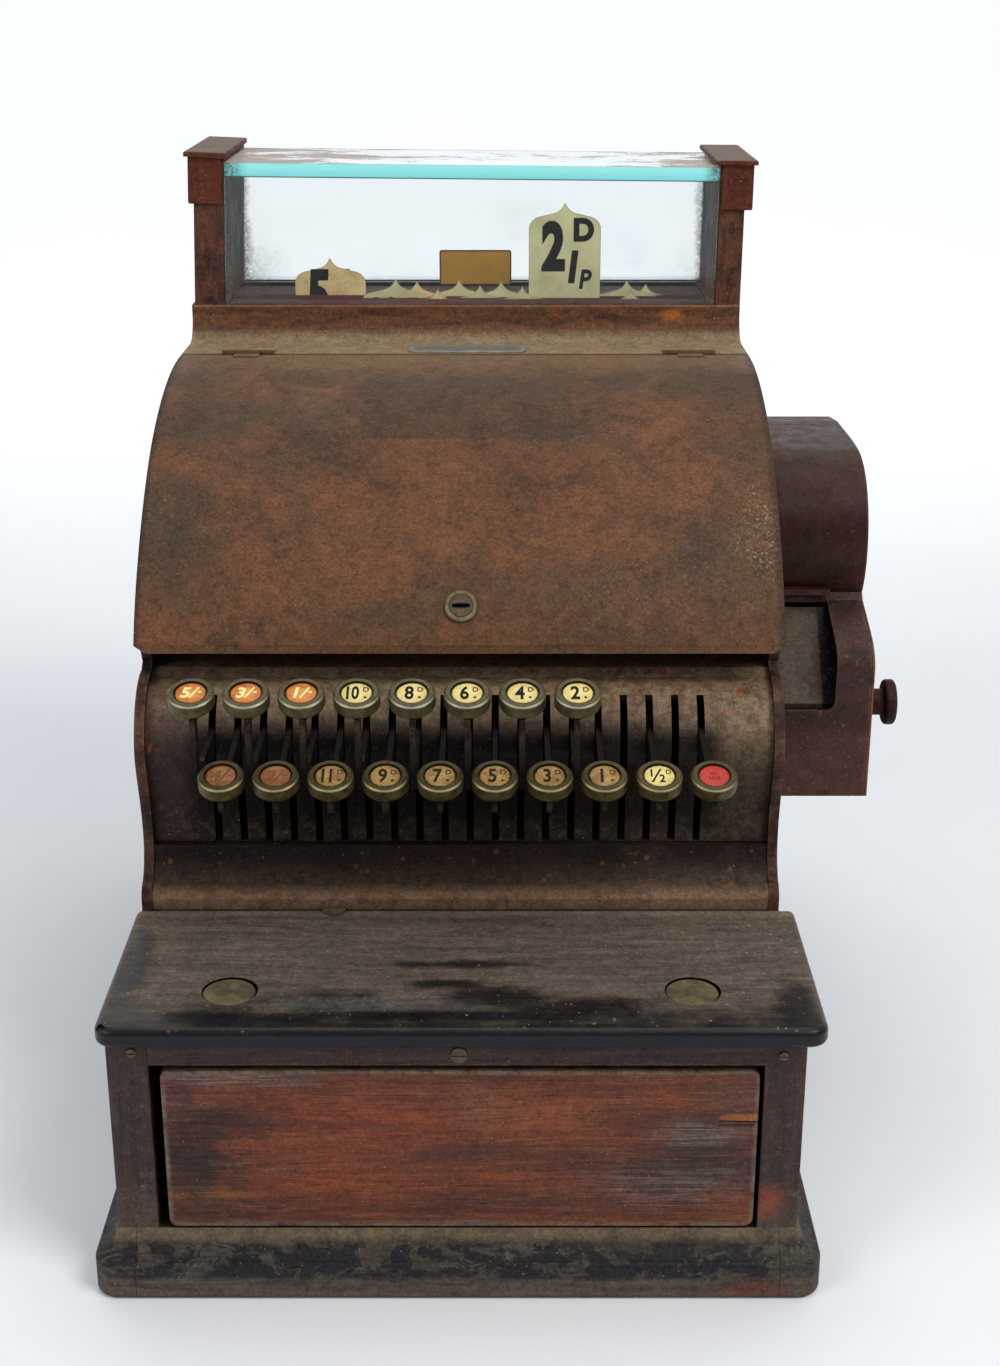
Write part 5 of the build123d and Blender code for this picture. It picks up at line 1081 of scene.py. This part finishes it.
def mat_label(name, a, b, stain, dirt, amount, middle=None):
    g = G(name)
    rim = attr(g, "rim")
    mid = g.noise(330, 5, 0.72)
    fine = g.noise(1500, 4, 0.8)
    big = g.noise(170, 4, 0.66, 0.5, co=g.stretch(1, 1, 1, (1.3, 0.4, 0.9)))
    c = g.mix(g.range(mid, 0.35, 0.65), a, b)
    if middle is not None:
        c = g.mix(g.mul(g.range(g.add(rim, g.mul(big, 0.5)), 1.05, 0.45), 0.75), c, middle)
    c = g.mix(g.mul(g.range(big, 0.48, 0.62), amount), c, stain)
    c = g.mix(g.mul(g.range(fine, 0.54, 0.62), amount), c, dirt)
    ragged = g.add(rim, g.mul(g.math("SUBTRACT", fine, 0.5), 0.16), g.mul(g.math("SUBTRACT", big, 0.5), 0.20 * (0.35 + amount)))
    c = g.mix(g.mul(g.range(ragged, 0.90, 0.98), 0.92), c, g.mix(mid, col(26, 20, 13), col(62, 47, 28)))
    return g.finish(c, g.range(mid, 0.3, 0.7, 0.28, 0.45), g.bump(fine, 0.10, 0.0002), spec=0.2, coat=0.08, coat_rough=0.25)


LAB = {
    "orange": mat_label("label_orange", col(212, 128, 48), col(190, 106, 38), col(150, 74, 26), col(104, 62, 28), 0.5, col(222, 158, 78)),
    "cream": mat_label("label_cream", col(226, 206, 128), col(210, 186, 108), col(190, 150, 76), col(104, 80, 40), 0.28, col(232, 218, 148)),
    "rust": mat_label("label_rust", col(146, 92, 44), col(120, 72, 34), col(160, 108, 60), col(74, 52, 30), 0.95, col(156, 98, 48)),
    "tan": mat_label("label_tan", col(176, 142, 78), col(148, 112, 58), col(140, 96, 48), col(70, 52, 30), 0.85, col(186, 152, 84)),
    "red": mat_label("label_red", col(190, 58, 42), col(176, 48, 36), col(150, 42, 32), col(110, 36, 28), 0.25),
}


def mat_ink(name, a, b, worn):
    g = G(name)
    n = g.noise(900, 4, 0.75)
    c = g.mix(g.range(n, 0.62 - worn * 0.2, 0.74), a, b)
    return g.finish(c, 0.5, g.bump(n, 0.1, 0.0001), spec=0.12)


INK = mat_ink("ink_black", col(20, 18, 17), col(46, 40, 30), 0.1)
INK_WORN = mat_ink("ink_worn", col(34, 27, 20), col(92, 68, 42), 0.6)
INK_PALE = mat_ink("ink_pale", col(248, 226, 150), col(232, 186, 100), 0.4)
INK_RED = mat_ink("ink_on_red", col(92, 30, 26), col(150, 52, 42), 0.7)
INK_RUST = mat_ink("ink_on_rust", col(120, 78, 40), col(176, 124, 70), 0.6)
INK_FLAG = mat_ink("flag_ink", col(30, 29, 30), col(70, 66, 60), 0.35)

mm = 0.001


def price(txt, unit):
    """Figures of a key label: the number, and for pence a small raised D with a dot under it."""
    if unit == "s":
        return [(txt, -2.3 * mm, -3.5 * mm, 7.4 * mm, 0.92, 0.14, 0.034), ("/", 1.6 * mm, -3.5 * mm, 7.4 * mm, 0.92, 0.28, 0.022),
                ("-", 4.2 * mm, 0.0 * mm, 1.1 * mm, 0.62, 0.0, 0.016)]
    wide = len(txt) > 1
    n = -1.7 * mm if wide else -1.2 * mm
    return [(txt, n, -4.4 * mm, 9.2 * mm, 0.58 if wide else 0.70, 0.0, 0.030),
            ("D", (4.3 if wide else 3.8) * mm, 0.9 * mm, 3.1 * mm, 0.92, 0.0, 0.012),
            (".", (4.1 if wide else 3.5) * mm, -3.6 * mm, 1.2 * mm, 1.2, 0.0, 0.02)]


STYLE = {"5s": ("orange", INK_PALE), "3s": ("orange", INK_PALE), "1s": ("orange", INK_PALE), "4s": ("rust", INK_RUST),
         "2s": ("rust", INK_RUST), "10d": ("cream", INK), "8d": ("cream", INK), "6d": ("cream", INK), "4d": ("cream", INK),
         "2d": ("cream", INK), "11d": ("tan", INK_WORN), "9d": ("tan", INK_WORN), "7d": ("tan", INK_WORN),
         "5d": ("tan", INK_WORN), "3d": ("tan", INK_WORN), "1d": ("tan", INK_WORN), "halfd": ("cream", INK),
         "no_sale": ("red", INK_RED)}

for i, tag in KEYS:
    x = FIRST + PITCH * i
    upper = i % 2 == 0 and i <= 14
    top = UP_TOP if upper else LOW_TOP
    wear("key_" + tag, key_up if upper else key_low)
    style, ink = STYLE[tag]
    lab = disc_mesh("label_" + tag, cap_matrix(x, top), 7.35 * mm, 0.14 * mm, 0.22 * mm, 100 + i)
    lab.data.materials.append(LAB[style])
    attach(lab, "key_" + tag)
    if tag == "halfd":
        parts = [("1", -3.6 * mm, -0.6 * mm, 5.0 * mm, 0.8, 0.0, 0.024), ("/", -1.3 * mm, -4.2 * mm, 8.8 * mm, 0.8, 0.3, 0.014),
                 ("2", 1.3 * mm, -4.3 * mm, 5.2 * mm, 0.76, 0.0, 0.028), ("D", 4.3 * mm, 1.2 * mm, 2.8 * mm, 0.9, 0.0, 0.010)]
    elif tag == "no_sale":
        parts = [("NO", 0.0, 0.55 * mm, 1.9 * mm, 0.95, 0.0, 0.012), ("SALE", 0.0, -2.4 * mm, 1.9 * mm, 0.95, 0.0, 0.012)]
    else:
        parts = price(tag[:-1], tag[-1])
    t = text_mesh("figures_" + tag, parts, cap_matrix(x, top, 0.34 * mm), 0.05 * mm)
    t.data.materials.append(ink)
    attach(t, "key_" + tag)

# ------------------------------------------------------------------ flags and their figures
flag_new, flag_old = mat_flag("flag_enamel"), mat_flag("flag_enamel_old", True)
CRANKED = {0: -83.1, 15: 98.2, 19: 108.4}
RAISED = {0: 12.8, 14: 46.0}
TIPS = {0: 423.4, 6: 412.4, 7: 410.5, 8: 407.0, 9: 410.7, 10: 408.7, 11: 410.4, 12: 408.5, 14: 457.3, 15: 406.9,
        17: 410.5, 19: 408.0}


def flag_matrix(cx, y, tip, back):
    """Origin at the flag's tip on its front or rear face, X to the reader's right, Y up, Z towards the reader."""
    s = -1 if back else 1
    m = Matrix(((s, 0, 0), (0, 0, -s), (0, 1, 0))).to_4x4()
    m.translation = (cx * mm, (y + (0.45 if back else -0.45)) * mm + (0.00001 if back else -0.00001), tip * mm)
    return m


for i, tag in KEYS:
    wear("flag_" + tag, flag_old if i in (0, 7, 8) else flag_new)
    cx = CRANKED.get(i, -122.15 + 12.7 * i + 3.0)
    k = 4 if i in (0, 19) else 0 if i == 15 else (0, 3, 1, 2)[i % 4]
    y = 178.0 + 3.5 * k
    tip = TIPS.get(i, 398.6)
    for back in (False, True):
        dy = 0.4 if i in (6, 10) else 0.0
        if tag == "no_sale":
            parts = [("NO", 0, -24 * mm, 11 * mm, 0.8, 0, 0.03), ("SALE", 0, -40 * mm, 11 * mm, 0.7, 0, 0.03)]
        elif tag == "halfd":
            parts = [("1", -8 * mm, -25 * mm, 15 * mm, 0.8, 0, 0.03), ("/", -3 * mm, -38 * mm, 26 * mm, 0.9, 0.25, 0.01),
                     ("2", 4 * mm, -39 * mm, 16 * mm, 0.8, 0, 0.03), ("D", 13 * mm, -22 * mm, 9 * mm, 1, 0, 0.01)]
        elif tag[-1] == "s":
            parts = [(tag[:-1], -8.0 * mm, (-36.2 + dy) * mm, 30 * mm, 0.72, 0.10, 0.046), ("-", 9.5 * mm, -25.2 * mm, 2.8 * mm, 0.7, 0, 0.02)]
        elif tag == "2d":
            parts = [("2", -6.8 * mm, -40.0 * mm, 30.0 * mm, 0.70, 0, 0.052), ("D", 11.3 * mm, -22.4 * mm, 14.0 * mm, 0.94, 0, 0.054),
                     ("l", 5.2 * mm, -47.0 * mm, 19.5 * mm, 1.0, 0.12, 0.030), ("P", 12.6 * mm, -50.4 * mm, 11.6 * mm, 0.86, 0.16, 0.034)]
            if back:
                parts = parts[:2]
        else:
            n = tag[:-1]
            parts = [(n, -6 * mm, (-39.5 + dy) * mm, 29 * mm, 0.68 if len(n) == 1 else 0.5, 0, 0.046),
                     ("D", 12.5 * mm, (-24 + dy) * mm, 13 * mm, 0.9, 0, 0.02)]
        t = text_mesh(("flagback_" if back else "flagfront_") + tag, parts, flag_matrix(cx, y, tip, back), 0.05 * mm)
        t.data.materials.append(INK_FLAG)
        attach(t, "flag_" + tag)

# ------------------------------------------------------------------ floor, backdrop and light
bm = bmesh.new()
W, rows = 7.0, []
prof = [(-6.0, 0.0), (-2.0, 0.0), (0.0, 0.0), (2.0, 0.0)]
for k in range(1, 13):
    a = math.pi / 2 * k / 12
    prof.append((2.6 + 1.2 * math.sin(a), 1.2 - 1.2 * math.cos(a)))
prof.append((3.8, 6.0))
for y, z in prof:
    rows.append([bm.verts.new((x, y, z)) for x in (-W, -2.5, 0, 2.5, W)])
for a, b in zip(rows, rows[1:]):
    for k in range(4):
        bm.faces.new((a[k], a[k + 1], b[k + 1], b[k]))
me = bpy.data.meshes.new("studio_sweep")
bm.to_mesh(me)
bm.free()
for p in me.polygons:
    p.use_smooth = True
sweep = bpy.data.objects.new("studio_sweep", me)
scene.collection.objects.link(sweep)
g = G("studio_paper")
x, y, z = g.xyz()
paper = g.mix(g.range(g.noise(3, 2), 0.3, 0.7), (0.845, 0.87, 0.90, 1), (0.86, 0.885, 0.91, 1))
g.finish(paper, 0.9, spec=0.1)
glow = g.node("ShaderNodeEmission")
glow.inputs[0].default_value = (0.955, 0.975, 1.0, 1)
g.put(glow.inputs[1], g.add(g.range(y, 0.3, 2.0, 0.02, 0.50), g.range(y, -0.33, -0.75, 0.0, 0.17)))
addn = g.node("ShaderNodeAddShader")
g.put(addn.inputs[0], g.b.outputs[0])
g.put(addn.inputs[1], glow.outputs[0])
g.nt.links.new(addn.outputs[0], g.out.inputs[0])
sweep.data.materials.append(g.m)

world = bpy.data.worlds.new("studio")
scene.world = world
world.use_nodes = True
world.node_tree.nodes["Background"].inputs[0].default_value = (0.93, 0.96, 1.0, 1)
world.node_tree.nodes["Background"].inputs[1].default_value = 0.30


def area(name, loc, target, size, power, colour=(1, 1, 1)):
    d = bpy.data.lights.new(name, "AREA")
    d.shape = "RECTANGLE"
    d.size, d.size_y = size
    d.energy = power
    d.color = colour
    o = bpy.data.objects.new(name, d)
    o.location = loc
    o.rotation_euler = (Vector(target) - Vector(loc)).to_track_quat("-Z", "Y").to_euler()
    scene.collection.objects.link(o)


area("key_light", (1.05, -1.05, 1.85), (0.0, 0.0, 0.22), (0.9, 0.9), 24, (1.0, 0.985, 0.965))
area("fill_light", (-1.4, -1.2, 1.3), (0.0, 0.0, 0.2), (1.0, 1.0), 11, (0.96, 0.98, 1.0))
area("top_light", (0.1, 0.3, 2.3), (0.0, 0.0, 0.2), (1.6, 1.2), 14, (0.98, 0.99, 1.0))

bpy.context.view_layer.update()
